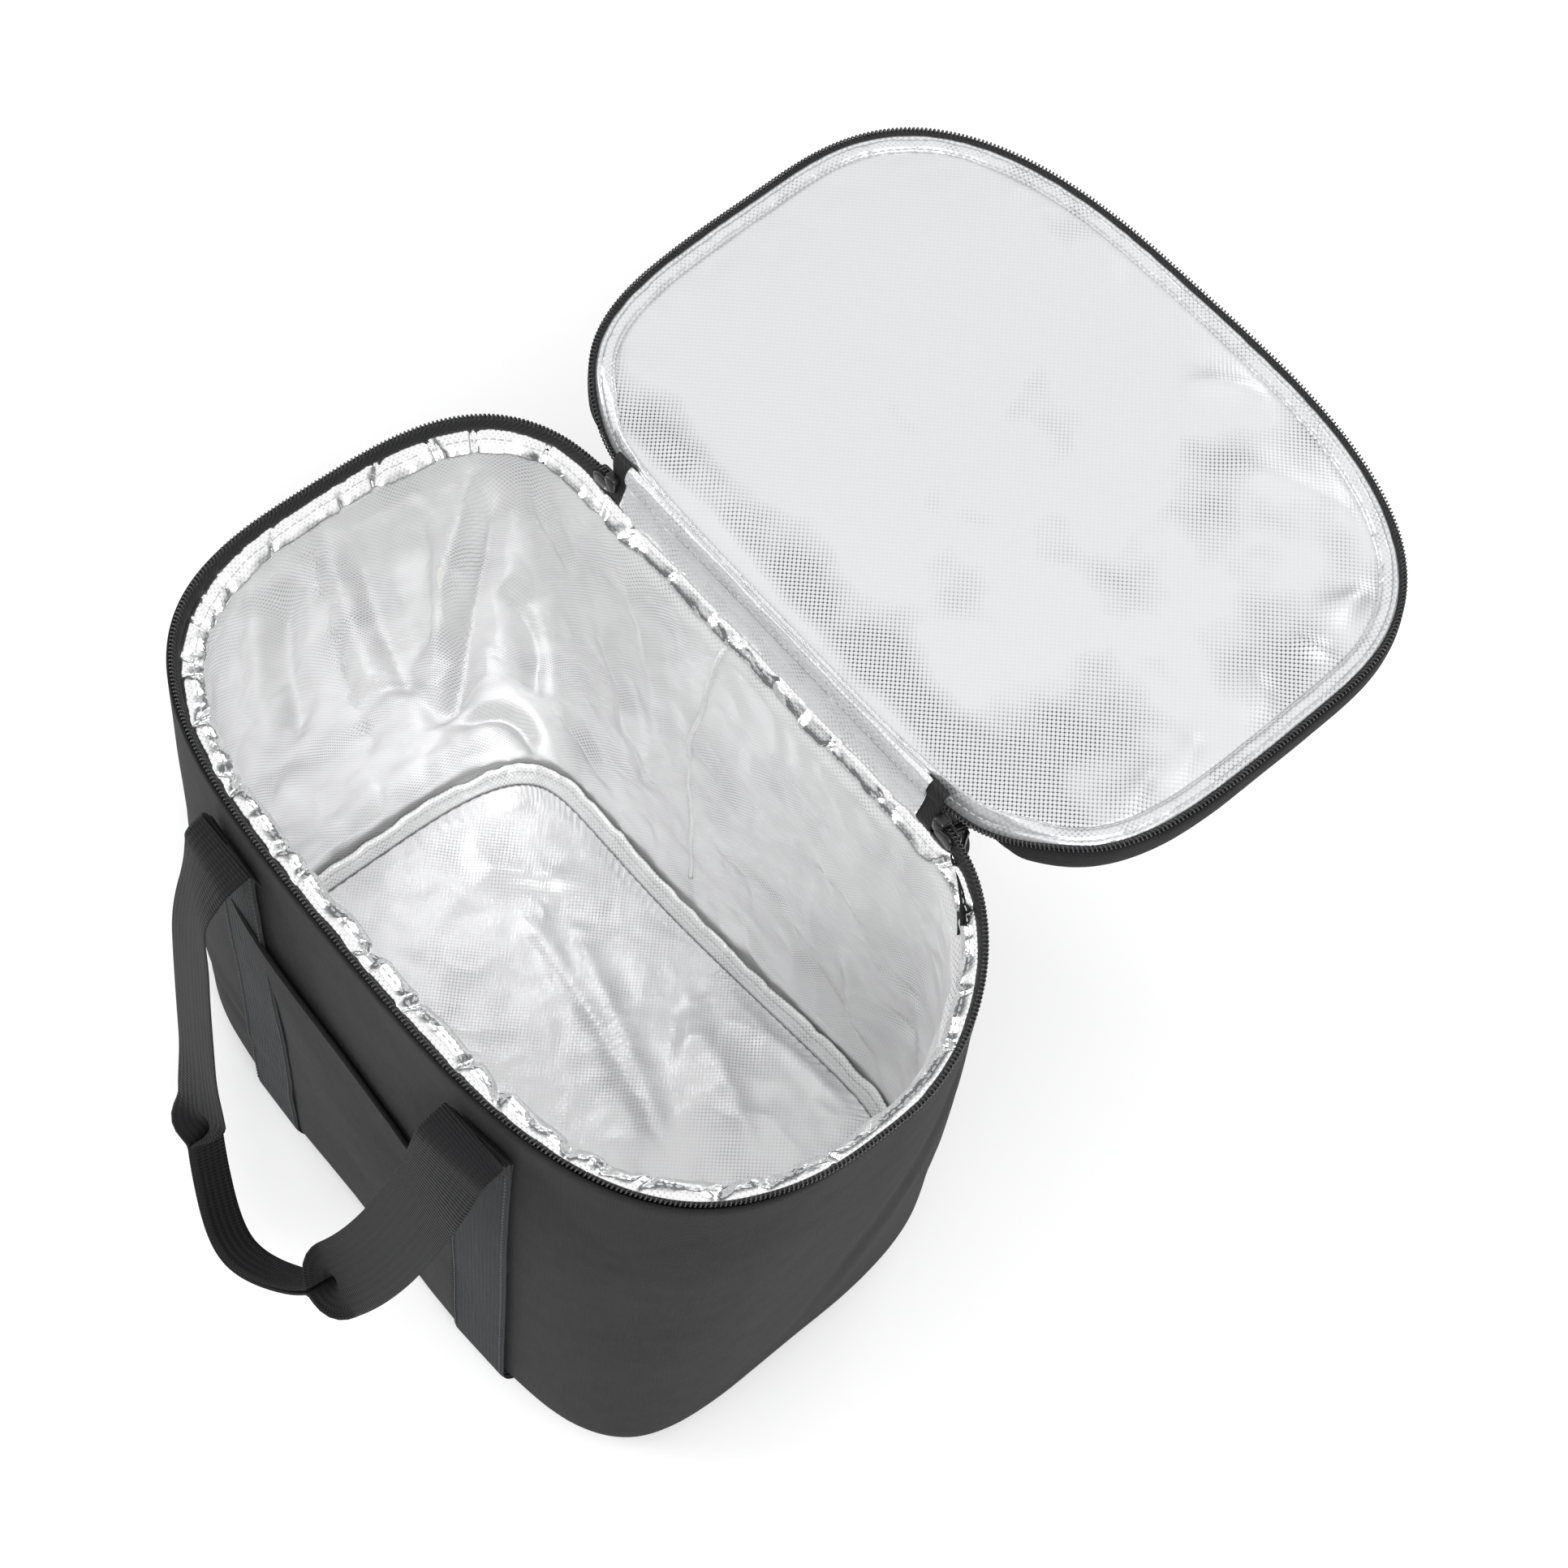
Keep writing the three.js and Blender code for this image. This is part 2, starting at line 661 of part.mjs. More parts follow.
function buildLid() {
  const top = zipHeight + lidHeight;
  const shoulder = top - lidEdgeRadius;
  addPiece(lid, 'lid_band', 'polyester',
    roundBand(bar(0, outerCloth, zipHeight + lidBandStart, shoulder - clearance)));
  addPiece(lid, 'lid_panel', 'polyester', plate(panelRings(shoulder)));
  const foamTop = top - outerCloth - clearance;
  const inside = tapeInset + tapeThickness + clearance;
  const edge = lidEdgeRadius - outerCloth - clearance;
  const turn = Math.acos((lidEdgeRadius - inside) / edge);
  const foamEdge = spaced(turn, Math.PI / 2, 2).slice(0, -1).map((angle) => [
    lidEdgeRadius - edge * Math.cos(angle),
    shoulder + edge * Math.sin(angle),
  ]);
  addPiece(lid, 'lid_foam', 'foam', plate([
    [inside, foamTop - lidFoam],
    ...foamEdge,
    ...crownRings(lidEdgeRadius, foamTop),
  ]));
  const facingTop = foamTop - lidFoam - clearance;
  addPiece(lid, 'lid_facing', 'foil', plate([[inside, facingTop - foil], [inside, facingTop]]));
  const borderTop = facingTop - foil - clearance;
  addPiece(lid, 'lid_border', 'foil',
    roundBand(roll(inside, inside + borderWidth, borderTop - borderThickness, borderTop)));
  const tapeFoot = zipHeight + tapeEdge;
  addPiece(lid, 'lid_zip_tape', 'zip',
    zipBand(bar(tapeInset, tapeInset + tapeThickness, tapeFoot, tapeFoot + tapeWidth)));
  const coilFoot = zipHeight + coilGap;
  addPiece(lid, 'lid_zip_coil', 'zip',
    zipBand(bar(coilSet, coilSet + coilWidth, coilFoot, coilFoot + coilHeight)));
}

// Rings that rise to the middle of a softly crowned panel
function crownRings(inset, z) {
  return [1, 0.75, 0.45, 0.15].map((shrink) => [inset, z + lidCrown * (1 - shrink ** 2), shrink]);
}

// The lid's outer panel: crowned on top and rounded down to the side band
function panelRings(shoulder) {
  const rings = [];
  const arc = (radius, angle) => [
    lidEdgeRadius - radius * Math.cos(angle),
    shoulder + radius * Math.sin(angle),
  ];
  const inner = lidEdgeRadius - outerCloth;
  crownRings(lidEdgeRadius, shoulder + inner).reverse().forEach((ring) => rings.push(ring));
  const turns = spaced(0, Math.PI / 2, 4);
  turns.slice(0, -1).reverse().forEach((angle) => rings.push(arc(inner, angle)));
  turns.forEach((angle) => rings.push(arc(lidEdgeRadius, angle)));
  crownRings(lidEdgeRadius, shoulder + lidEdgeRadius).slice(1).forEach((ring) => rings.push(ring));
  return rings;
}

buildBody();
buildSeamTape();
buildMouth();
buildHinge();
buildPocket();
[['front', -1], ['rear', 1]].forEach(([place, side]) => {
  buildStrap(`${place}_strap_left`, side, -strapCentre);
  buildStrap(`${place}_strap_right`, side, strapCentre);
  buildHandle(`${place}_handle`, side);
});
buildSlider('slider_right', 'pull_right', 1);
buildSlider('slider_left', 'pull_left', -1);
buildLid();

// The lid turns back about the hinge: the inner group holds it shut, the outer one swings it open
const lidSwing = new THREE.Group();
lid.position.set(0, -hingeAxis.y, -hingeAxis.z);
lidSwing.position.set(0, hingeAxis.y, hingeAxis.z);
lidSwing.rotation.x = -THREE.MathUtils.degToRad(lidOpenAngle);
lidSwing.add(lid);
bag.add(lidSwing);

export default bag;
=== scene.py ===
# Soft cooler bag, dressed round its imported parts. Metres in the scene, millimetres in the tables.
import math

import bmesh
import bpy
import numpy as np
from mathutils import Matrix, Vector, noise


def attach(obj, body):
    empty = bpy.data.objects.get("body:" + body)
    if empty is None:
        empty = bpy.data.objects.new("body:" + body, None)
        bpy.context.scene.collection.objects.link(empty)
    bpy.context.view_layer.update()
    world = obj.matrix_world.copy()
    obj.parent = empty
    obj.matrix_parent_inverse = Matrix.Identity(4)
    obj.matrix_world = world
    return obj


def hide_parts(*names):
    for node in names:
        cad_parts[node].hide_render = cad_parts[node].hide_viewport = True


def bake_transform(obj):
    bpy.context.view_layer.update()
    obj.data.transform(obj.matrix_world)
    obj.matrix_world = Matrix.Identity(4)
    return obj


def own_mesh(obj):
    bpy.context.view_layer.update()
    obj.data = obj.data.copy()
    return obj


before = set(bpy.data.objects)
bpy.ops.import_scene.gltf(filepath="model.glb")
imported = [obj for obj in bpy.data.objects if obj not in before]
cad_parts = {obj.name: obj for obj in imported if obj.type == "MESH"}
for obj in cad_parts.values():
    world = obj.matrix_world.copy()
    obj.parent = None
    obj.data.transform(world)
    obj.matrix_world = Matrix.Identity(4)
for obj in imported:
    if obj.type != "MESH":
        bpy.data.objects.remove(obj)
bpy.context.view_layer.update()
mm = 0.001
print("frame loaded:", len(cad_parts), "nodes")


# helpers: numbers and meshes

def smooth(low, high, value):
    t = np.clip((value - low) / (high - low), 0, 1)
    return t * t * (3 - 2 * t)


def bump(value, centre, halfWidth):
    return np.exp(-((value - centre) / halfWidth) ** 2)


def mix(a, b, t):
    return a + (b - a) * t


def unit(vectors):
    return vectors / np.linalg.norm(vectors, axis=-1, keepdims=True)


def wrinkle(points, size, seed=0.0, octaves=2):
    # soft noise in -1..1 at each point, size in mm, one or one per direction
    scale = np.asarray(points, float) / np.asarray(size, float) + seed
    flat = scale.reshape(-1, 3)
    values = np.zeros(len(flat))
    gain = 1.0
    for octave in range(octaves):
        step = 2 ** octave
        values += gain * np.array([noise.noise(Vector(p * step)) for p in flat])
        gain *= 0.5
    return values.reshape(scale.shape[:-1])


def crease(points, size, seed=0.0, octaves=2):
    # noise folded on itself: sharp valleys between soft swells, 0..1
    return 1 - np.abs(wrinkle(points, size, seed, octaves)) * 2


def runLengths(points, loop):
    step = np.linalg.norm(np.diff(points, axis=0), axis=1)
    if loop:
        step = np.append(step, np.linalg.norm(points[0] - points[-1]))
    return np.concatenate([[0], np.cumsum(step)])


def readAlong(field, run, at):
    # the field's rows, given at the lengths in run, read at other lengths
    return np.stack([np.interp(at, run, field[:, k]) for k in range(field.shape[1])], -1)


def closedLoop(path):
    return np.vstack([path, path[:1]])


def makeMesh(name, vertices, faces, uvs, material, smoothShade=True):
    mesh = bpy.data.meshes.new(name)
    mesh.from_pydata((np.asarray(vertices) * mm).tolist(), [], faces)
    layer = mesh.uv_layers.new(name="UVMap")
    layer.data.foreach_set("uv", np.asarray(uvs, float).reshape(-1))
    if smoothShade:
        mesh.shade_smooth()
    mesh.materials.append(material)
    obj = bpy.data.objects.new(name, mesh)
    bpy.context.scene.collection.objects.link(obj)
    return obj


def outward(obj):
    work = bmesh.new()
    work.from_mesh(obj.data)
    bmesh.ops.recalc_face_normals(work, faces=work.faces)
    work.to_mesh(obj.data)
    work.free()
    return obj


def gridMesh(name, points, material, loopU=False, loopV=False, caps=False, flatUv=False, centre=False):
    # points: rows x columns x 3. The texture coordinates are real lengths in mm, along the grid or, for a
    # flat piece, in plan.
    points = np.asarray(points, float)
    rows, columns = points.shape[:2]
    u = runLengths(points[rows // 2], loopU)
    v = runLengths(points[:, columns // 2], loopV)
    faces, uvs = [], []
    for i in range(rows if loopV else rows - 1):
        up = (i + 1) % rows
        for j in range(columns if loopU else columns - 1):
            right = (j + 1) % columns
            faces.append((i * columns + j, i * columns + right, up * columns + right, up * columns + j))
            uvs += [(u[j], v[i]), (u[j + 1], v[i]), (u[j + 1], v[i + 1]), (u[j], v[i + 1])]
    if caps:
        # caps close the first and last column of a strip, or the first and last row of a tube
        if loopV:
            ends = [[i * columns for i in range(rows)], [i * columns + columns - 1 for i in range(rows)]]
        else:
            ends = [list(range(columns)), [(rows - 1) * columns + j for j in range(columns)]]
        for end in ends:
            faces.append(tuple(end))
            uvs += [(0.0, 0.0)] * len(end)
    points = points.reshape(-1, 3)
    if centre:
        # a plate's last row closes on a point in its middle
        points = np.vstack([points, points[-columns:].mean(0)])
        hub, last = len(points) - 1, (rows - 1) * columns
        for j in range(columns):
            faces.append((last + j, last + (j + 1) % columns, hub))
            uvs += [(0.0, 0.0)] * 3
    if flatUv:
        plan = points[:, :2]
        uvs = [plan[k] for face in faces for k in face]
    obj = makeMesh(name, points, faces, uvs, material)
    return outward(obj) if caps or (loopU and loopV) else obj


def joined(name, parts):
    # several small meshes as one piece
    vertices, faces, uvs, start = [], [], [], 0
    for part in parts:
        data = part.data
        vertices += [tuple(v.co / mm) for v in data.vertices]
        for face in data.polygons:
            faces.append(tuple(start + k for k in face.vertices))
        uvs += [tuple(d.uv) for d in data.uv_layers[0].data]
        start += len(data.vertices)
    obj = makeMesh(name, vertices, faces, uvs, parts[0].data.materials[0])
    for part in parts:
        bpy.data.objects.remove(part)
    return obj


def bakeModifiers(obj):
    shaped = obj.evaluated_get(bpy.context.evaluated_depsgraph_get())
    mesh = bpy.data.meshes.new_from_object(shaped)
    obj.modifiers.clear()
    obj.data = mesh
    return obj


def thicken(obj, thickness, offset=-1):
    solid = obj.modifiers.new("thickness", "SOLIDIFY")
    solid.thickness = thickness * mm
    solid.offset = offset
    solid.use_even_offset = False
    return bakeModifiers(obj)


# helpers: materials

def linear(hexColour):
    channels = [int(hexColour[i:i + 2], 16) / 255 for i in (1, 3, 5)]
    return [c / 12.92 if c <= 0.04045 else ((c + 0.055) / 1.055) ** 2.4 for c in channels] + [1]


def addNode(tree, kind, links=None, values=None, **settings):
    node = tree.nodes.new(kind)
    for key, value in settings.items():
        setattr(node, key, value)
    for key, value in (values or {}).items():
        node.inputs[key].default_value = value
    for key, source in (links or {}).items():
        tree.links.new(source, node.inputs[key])
    return node


def startMaterial(name, values, space="UV"):
    material = bpy.data.materials.new(name)
    material.use_nodes = True
    tree = material.node_tree
    for key, value in values.items():
        tree.nodes["Principled BSDF"].inputs[key].default_value = value
    return material, tree, addNode(tree, "ShaderNodeTexCoord").outputs[space]


def dress(material, colour=None, normal=None):
    tree = material.node_tree
    for source, key in ((colour, "Base Color"), (normal, "Normal")):
        if source:
            tree.links.new(source, tree.nodes["Principled BSDF"].inputs[key])
    return material


def waves(tree, place, direction, pitch, distortion=0.0):
    # bands of one pitch in mm; the wave texture's own period is pi / 10
    return addNode(tree, "ShaderNodeTexWave", {"Vector": place},
                   {"Scale": math.pi / 10 / pitch, "Distortion": distortion, "Detail": 1.0},
                   wave_type="BANDS", bands_direction=direction).outputs["Fac"]


def speckle(tree, place, scale, **values):
    return addNode(tree, "ShaderNodeTexNoise", {"Vector": place}, {"Scale": scale, **values}).outputs["Fac"]


def ranged(tree, value, low, high, **settings):
    # 0 at low, 1 at high
    return addNode(tree, "ShaderNodeMapRange", {"Value": value}, {"From Min": low, "From Max": high},
                   **settings).outputs[0]


def twoTones(tree, factor, low, high, start=0.0, end=1.0):
    ramp = addNode(tree, "ShaderNodeValToRGB", {"Fac": factor})
    for element, position, colour in zip(ramp.color_ramp.elements, (start, end), (low, high)):
        element.position = position
        element.color = linear(colour)
    return ramp.outputs["Color"]


def bumpFrom(tree, height, distance, strength=1.0, under=None):
    links = {"Height": height}
    if under:
        links["Normal"] = under
    return addNode(tree, "ShaderNodeBump", links,
                   {"Distance": distance * mm, "Strength": strength}).outputs["Normal"]


def sum2(tree, a, b, shareB):
    scaled = addNode(tree, "ShaderNodeMath", {0: b}, {1: shareB}, operation="MULTIPLY").outputs[0]
    return addNode(tree, "ShaderNodeMath", {0: a, 1: scaled}, operation="ADD").outputs[0]


polyesterCloth = {"dark": "#131314", "light": "#222223", "thread": 1.1, "roughness": 0.85, "sheen": 0.03}


def wovenPolyester(name, **changes):
    # 600 denier polyester, plain weave, piece dyed charcoal: matte, a fine grid of threads with faint slubs.
    # The threads are 0.5 mm apart, drawn at 1.1 mm so that they show.
    look = dict(polyesterCloth, **changes)
    material, tree, place = startMaterial(name, {
        "Roughness": look["roughness"], "Sheen Weight": look["sheen"], "Sheen Roughness": 0.5,
        "IOR": 1.53, "Specular IOR Level": 0.22})
    warp = waves(tree, place, "X", look["thread"], 0.6)
    weft = waves(tree, place, "Y", look["thread"], 0.6)
    weave = sum2(tree, warp, weft, 1.0)
    slubs = speckle(tree, place, 0.08, Detail=6.0, Roughness=0.7)
    fibres = speckle(tree, place, 1.2, Detail=3.0)
    tone = sum2(tree, sum2(tree, slubs, weave, 0.1), fibres, 0.25)
    return dress(material, twoTones(tree, tone, look["dark"], look["light"], 0.45, 1.0),
                 bumpFrom(tree, weave, 0.12, 0.7))


webbingCloth = {"dark": "#060607", "light": "#171719", "rib": 1.6, "cord": 3.4, "cordShare": 0.9,
                "roughness": 0.74, "sheen": 0.04}


def ribbedWebbing(name, **changes):
    # Polypropylene webbing, woven: cross ribs of weft with lengthwise cords, slightly shiny yarn.
    # U runs across the webbing and V along it. Ribs are 1 mm apart, drawn at 1.6 mm so that they show.
    look = dict(webbingCloth, **changes)
    material, tree, place = startMaterial(name, {
        "Roughness": look["roughness"], "Sheen Weight": look["sheen"], "Sheen Roughness": 0.4,
        "IOR": 1.49, "Specular IOR Level": 0.3})
    ribs = waves(tree, place, "Y", look["rib"], 0.3)
    cords = waves(tree, place, "X", look["cord"], 0.2)
    height = sum2(tree, ribs, cords, look["cordShare"])
    tone = sum2(tree, height, speckle(tree, place, 0.9, Detail=4.0), 0.8)
    return dress(material, twoTones(tree, tone, look["dark"], look["light"], 0.3, 2.1 / 2.7),
                 bumpFrom(tree, height, 0.45))


# the gap colours are a painted reflection of the room, seen in the dots between the cushions
foilSheet = {"crown": "#fdfdfd", "gapPale": "#e4e5e6", "gapDark": "#9fa0a2", "patch": 50.0, "band": None,
             "metallic": 0.55, "roughness": 0.27, "emboss": 1.9, "dotStart": 0.4, "dotFull": 0.64,
             "embossHeight": 0.15, "crinkle": 14.0, "crinkleHeight": 0.5, "gapRange": (0.3, 0.55),
             "creased": False}


def embossedFoil(name, **changes):
    # Aluminised polyethylene film on a scrim, embossed with small cushions: pale and bright, broken
    # highlights, and a grid of darker dots that comes and goes: the dots' darker colour is a painted
    # reflection of the room.
    look = dict(foilSheet, **changes)
    material, tree, place = startMaterial(name, {
        "Metallic": look["metallic"], "Roughness": look["roughness"]})
    turned = addNode(tree, "ShaderNodeMapping", {"Vector": place}, {"Rotation": (0, 0, math.radians(45))})
    dots = addNode(tree, "ShaderNodeTexVoronoi", {"Vector": turned.outputs[0]},
                   {"Scale": 1 / look["emboss"], "Randomness": 0.0}, voronoi_dimensions="2D")
    dots = dots.outputs["Distance"]
    lines = ranged(tree, dots, look["dotStart"], look["dotFull"])
    patches = speckle(tree, place, 1 / look["patch"], Detail=2.0)
    if look["band"]:
        # a duller band beside the hinge: its dots drawn darker, a painted dark reflection
        sides = addNode(tree, "ShaderNodeSeparateXYZ", {"Vector": place}).outputs
        low, top, high = look["band"]
        rise = ranged(tree, sides["Y"], low, top, interpolation_type="SMOOTHSTEP")
        fall = ranged(tree, sides["Y"], high, top, interpolation_type="SMOOTHSTEP")
        band = addNode(tree, "ShaderNodeMath", {0: rise, 1: fall}, operation="MULTIPLY").outputs[0]
        patches = sum2(tree, patches, band, look["bandDepth"])
        # and towards the right end its dots are drawn a little darker, a painted dark reflection too
        patches = sum2(tree, patches, ranged(tree, sides["X"], *look["rightRange"]), look["rightDepth"])
    # the dots' colour, from dark to pale in broad patches, is a painted reflection of the room
    gap = twoTones(tree, patches, look["gapDark"], look["gapPale"], *look["gapRange"])
    colour = addNode(tree, "ShaderNodeMix", {0: lines, 7: gap}, {6: linear(look["crown"])}, data_type="RGBA")
    crinkles = addNode(tree, "ShaderNodeTexNoise", {"Vector": place},
                       {"Scale": 1 / look["crinkle"], "Detail": 4.0, "Roughness": 0.6, "Distortion": 0.8},
                       noise_type="RIDGED_MULTIFRACTAL" if look["creased"] else "FBM")
    soft = bumpFrom(tree, crinkles.outputs["Fac"], look["crinkleHeight"])
    return dress(material, colour.outputs[2], bumpFrom(tree, dots, look["embossHeight"], under=soft))


def closedCellFoam(name):
    # Expanded polyethylene foam: off-white, matte, fine closed cells
    material, tree, place = startMaterial(name, {
        "Base Color": linear("#f1f1ec"), "Roughness": 0.9, "IOR": 1.5})
    cells = addNode(tree, "ShaderNodeTexVoronoi", {"Vector": place}, {"Scale": 0.6}).outputs["Distance"]
    return dress(material, normal=bumpFrom(tree, cells, 0.3))


def stiffBoard(name):
    # Polypropylene sheet, extruded: grey, satin, faint lengthwise drag lines
    material, tree, place = startMaterial(name, {
        "Base Color": linear("#b4b6b1"), "Roughness": 0.55, "IOR": 1.49})
    return dress(material, normal=bumpFrom(tree, waves(tree, place, "Y", 3.0, 4.0), 0.05))


zipCloth = {"dark": "#0e0e0f", "light": "#232324", "twill": 1.4, "roughness": 0.7}


def zipTapeCloth(name, look):
    # Polyester zip tape, twill woven: near black, dull, fine slanting ribs
    material, tree, place = startMaterial(name, {"Roughness": look["roughness"], "IOR": 1.53,
                                                 "Specular IOR Level": 0.4})
    twill = waves(tree, place, "DIAGONAL", look["twill"], 0.3)
    return dress(material, twoTones(tree, twill, look["dark"], look["light"]), bumpFrom(tree, twill, 0.15))


def nylonCoil(name):
    # Nylon monofilament, heat set into a coil: black, smooth, small pale glints painted into its colour as
    # painted highlights
    material, tree, place = startMaterial(name, {"Roughness": 0.3, "IOR": 1.53, "Specular IOR Level": 0.6,
                                                 "Coat Weight": 0.15, "Coat Roughness": 0.2}, "Object")
    # the pale speckles are painted glints: painted highlight
    wear = speckle(tree, place, 300.0, Detail=2.0)
    return dress(material, twoTones(tree, wear, "#1c1c1d", "#39393b", 0.3, 0.7))


def enamelledZinc(name):
    # Die-cast zinc slider, black enamel: satin black, worn a little lighter in spots
    material, tree, place = startMaterial(name, {"Roughness": 0.35, "Metallic": 0.2, "IOR": 1.5,
                                                 "Coat Weight": 0.4, "Coat Roughness": 0.25}, "Object")
    wear = speckle(tree, place, 180.0, Detail=5.0)
    return dress(material, twoTones(tree, wear, "#101011", "#2b2b2c", 0.5, 0.8), bumpFrom(tree, wear, 0.05))


def sewingThread(name, dark, light):
    # Twisted polyester sewing thread: soft sheen, slanting ply
    material, tree, place = startMaterial(name, {"Roughness": 0.6, "Sheen Weight": 0.2, "IOR": 1.53})
    return dress(material, twoTones(tree, waves(tree, place, "DIAGONAL", 0.6), dark, light))


outerFinish = wovenPolyester("charcoal_polyester")
pocketFinish = wovenPolyester("charcoal_polyester_pocket", dark="#151516", light="#242425")
# the straps' webbing is the handles' webbing; its lighter, bluer tone is painted light, as if lit on the
# front
strapFinish = ribbedWebbing("strap_webbing", dark="#08090a", light="#1f2326",
                            rib=1.4, cord=2.6, cordShare=2.4)
handleFinish = ribbedWebbing("handle_webbing")
liningFinish = embossedFoil("lining_foil", crown="#ffffff", gapPale="#ececed", gapDark="#8e8f93",
                            crinkle=30.0, crinkleHeight=0.9, creased=True)
floorFinish = embossedFoil("floor_foil", crown="#ededee", gapDark="#8a8b8f",
                           crinkle=36.0, crinkleHeight=1.0, creased=True)
# the lid foil's near-black dots, its darker band beside the hinge and its darker dots towards the right end
# are painted dark reflection
lidFinish = embossedFoil("lid_foil", crown="#dcddde", gapPale="#d7d8d9", gapDark="#26272a",
                         band=(122.0, 136.0, 168.0), bandDepth=-0.4, rightRange=(-40.0, 170.0),
                         rightDepth=-0.27, gapRange=(0.1, 0.36), dotFull=0.6, embossHeight=0.2,
                         crinkle=60.0, crinkleHeight=0.3, roughness=0.36, metallic=0.5)
hemFinish = embossedFoil("hem_foil", crown="#ffffff", gapDark="#96979a", patch=11.0, metallic=1.0,
                         roughness=0.15, dotStart=0.5, dotFull=0.66, embossHeight=0.05,
                         crinkle=13.0, crinkleHeight=0.9, creased=True)
borderFinish = embossedFoil("border_foil", crown="#e3e4e5", gapPale="#cfd0d2", gapDark="#77787b", patch=16.0,
                            metallic=0.6, roughness=0.26, embossHeight=0.08,
                            crinkle=9.0, crinkleHeight=0.7, creased=True)
hingeFinish = embossedFoil("hinge_foil", crown="#ececed", gapPale="#d9dadb", gapDark="#8c8d90", patch=16.0,
                           roughness=0.26, embossHeight=0.08, crinkle=16.0)
bindingFinish = embossedFoil("binding_foil", patch=16.0, metallic=0.3, embossHeight=0.08,
                             crinkle=9.0, crinkleHeight=0.6)
tapeFinish = zipTapeCloth("zip_tape", zipCloth)
coilFinish = nylonCoil("nylon_coil")
sliderFinish = enamelledZinc("slider_enamel")
foamFinish = closedCellFoam("foam")
boardFinish = stiffBoard("board")
darkThread = sewingThread("black_thread", "#0d0d0e", "#2a2a2b")
paleThread = sewingThread("grey_thread", "#9b9c9e", "#e2e3e4")
print("materials made")


# the bag's outline

bag = {
    "zipHeight": 330.0, "edgeRadius": 24.0, "wallTop": 329.0, "cloth": 1.2,
    # the mouth stands relaxed: longer and narrower than the lid
    "mouth": {"x": 8.5, "y": 15.8, "left": 204.0, "right": 195.0, "front": 137.1, "back": 102.2,
              "frontLeft": 3.49, "frontRight": 2.97, "backLeft": 2.77, "backRight": 1.8,
              "straightLeft": 115.0, "straightRight": 103.0},
    "base": {"x": 0.0, "y": 0.0, "left": 189.0, "right": 189.0, "front": 128.5, "back": 128.5,
             "frontLeft": 4.9, "frontRight": 4.9, "backLeft": 3.2, "backRight": 3.2,
             "straightLeft": 100.0, "straightRight": 100.0},
}


def sectionAt(z):
    t = np.clip(z / bag["zipHeight"], 0, 1)
    return {key: mix(bag["base"][key], bag["mouth"][key], t) for key in bag["mouth"]}


def outline(section, q):
    # q runs 0..5: back right corner, straight back, back left, front left, front right
    s = section
    quarter = np.where(q < 1, q, np.where(q < 2, 1.0, q - 1)) * math.pi / 2
    cos, sin = np.abs(np.cos(quarter)), np.abs(np.sin(quarter))
    isRight = (q < 1) | (q > 4)
    isBack = q < 3
    power = np.where(isBack, np.where(isRight, s["backRight"], s["backLeft"]),
                     np.where(isRight, s["frontRight"], s["frontLeft"]))
    straight = np.where(isBack, np.where(isRight, s["straightRight"], s["straightLeft"]), 0.0)
    half = np.where(isRight, s["right"], s["left"])
    x = straight + (half - straight) * cos ** (2 / power)
    x = s["x"] + np.where(isRight, x, -x)
    onBack = (q >= 1) & (q < 2)
    x = np.where(onBack, s["x"] + mix(s["straightRight"], -s["straightLeft"], np.clip(q - 1, 0, 1)), x)
    y = s["y"] + np.where(isBack, s["back"], -s["front"]) * sin ** (2 / power)
    return x, y


def evenlyRound(section, count):
    # count values of q, evenly spaced along the outline
    dense = np.linspace(0, 5, 6001)
    x, y = outline(section, dense)
    run = np.concatenate([[0], np.cumsum(np.hypot(np.diff(x), np.diff(y)))])
    return np.interp(np.arange(count) / count * run[-1], run, dense), run[-1]


def outlineAt(section, q):
    x, y = outline(section, q)
    a = outline(section, (q + 0.004) % 5)
    b = outline(section, (q - 0.004) % 5)
    tangent = unit(np.stack([a[0] - b[0], a[1] - b[1]], -1))
    return x, y, tangent[..., 1], -tangent[..., 0]


def ring(z, inset, q):
    # points of the wall at height z, inset towards the inside; z and inset may vary round the ring
    z = np.broadcast_to(np.asarray(z, float), q.shape)
    x, y, nx, ny = outlineAt(sectionAt(z), q)
    return np.stack([x - nx * inset, y - ny * inset, z], -1)


def normals2d(z, q):
    z = np.broadcast_to(np.asarray(z, float), q.shape)
    _, _, nx, ny = outlineAt(sectionAt(z), q)
    return np.stack([nx, ny, np.zeros_like(nx)], -1)


columns = 520
mouthSection = sectionAt(np.array(bag["zipHeight"]))
roundQ, mouthLength = evenlyRound(mouthSection, columns)
roundRun = np.arange(columns) / columns * mouthLength
print("mouth runs", round(mouthLength), "mm")


def softWall(points):
    # how far the outer cloth stands out of its plain loft: slack swells and a few soft folds
    x, y, z = points[..., 0], points[..., 1], points[..., 2]
    top = smooth(330, 300, z)
    out = 1.1 * wrinkle(points, (95, 95, 120), 3.1) * top
    out += 0.35 * wrinkle(points, (30, 30, 40), 8.4) * top
    # a crease that slants over the right end, and folds by the bottom's corners
    slant = (y - 0.35 * (z - 150)) - 30
    endOnly = smooth(120, 180, x) * smooth(30, 90, z) * smooth(320, 250, z)
    out += (1.0 * bump(slant, 15, 12) - 1.3 * bump(slant, 0, 9)) * endOnly
    low = z - 0.18 * (x + 130)
    out += (1.4 * bump(low, 80, 11) - 1.6 * bump(low, 62, 8)) * smooth(-60, -110, x) * smooth(0, -60, y)
    return out


# body: outer cloth, bottom, foam and board

wall = {"rows": 64, "edgeRows": 12, "innerRows": 7}


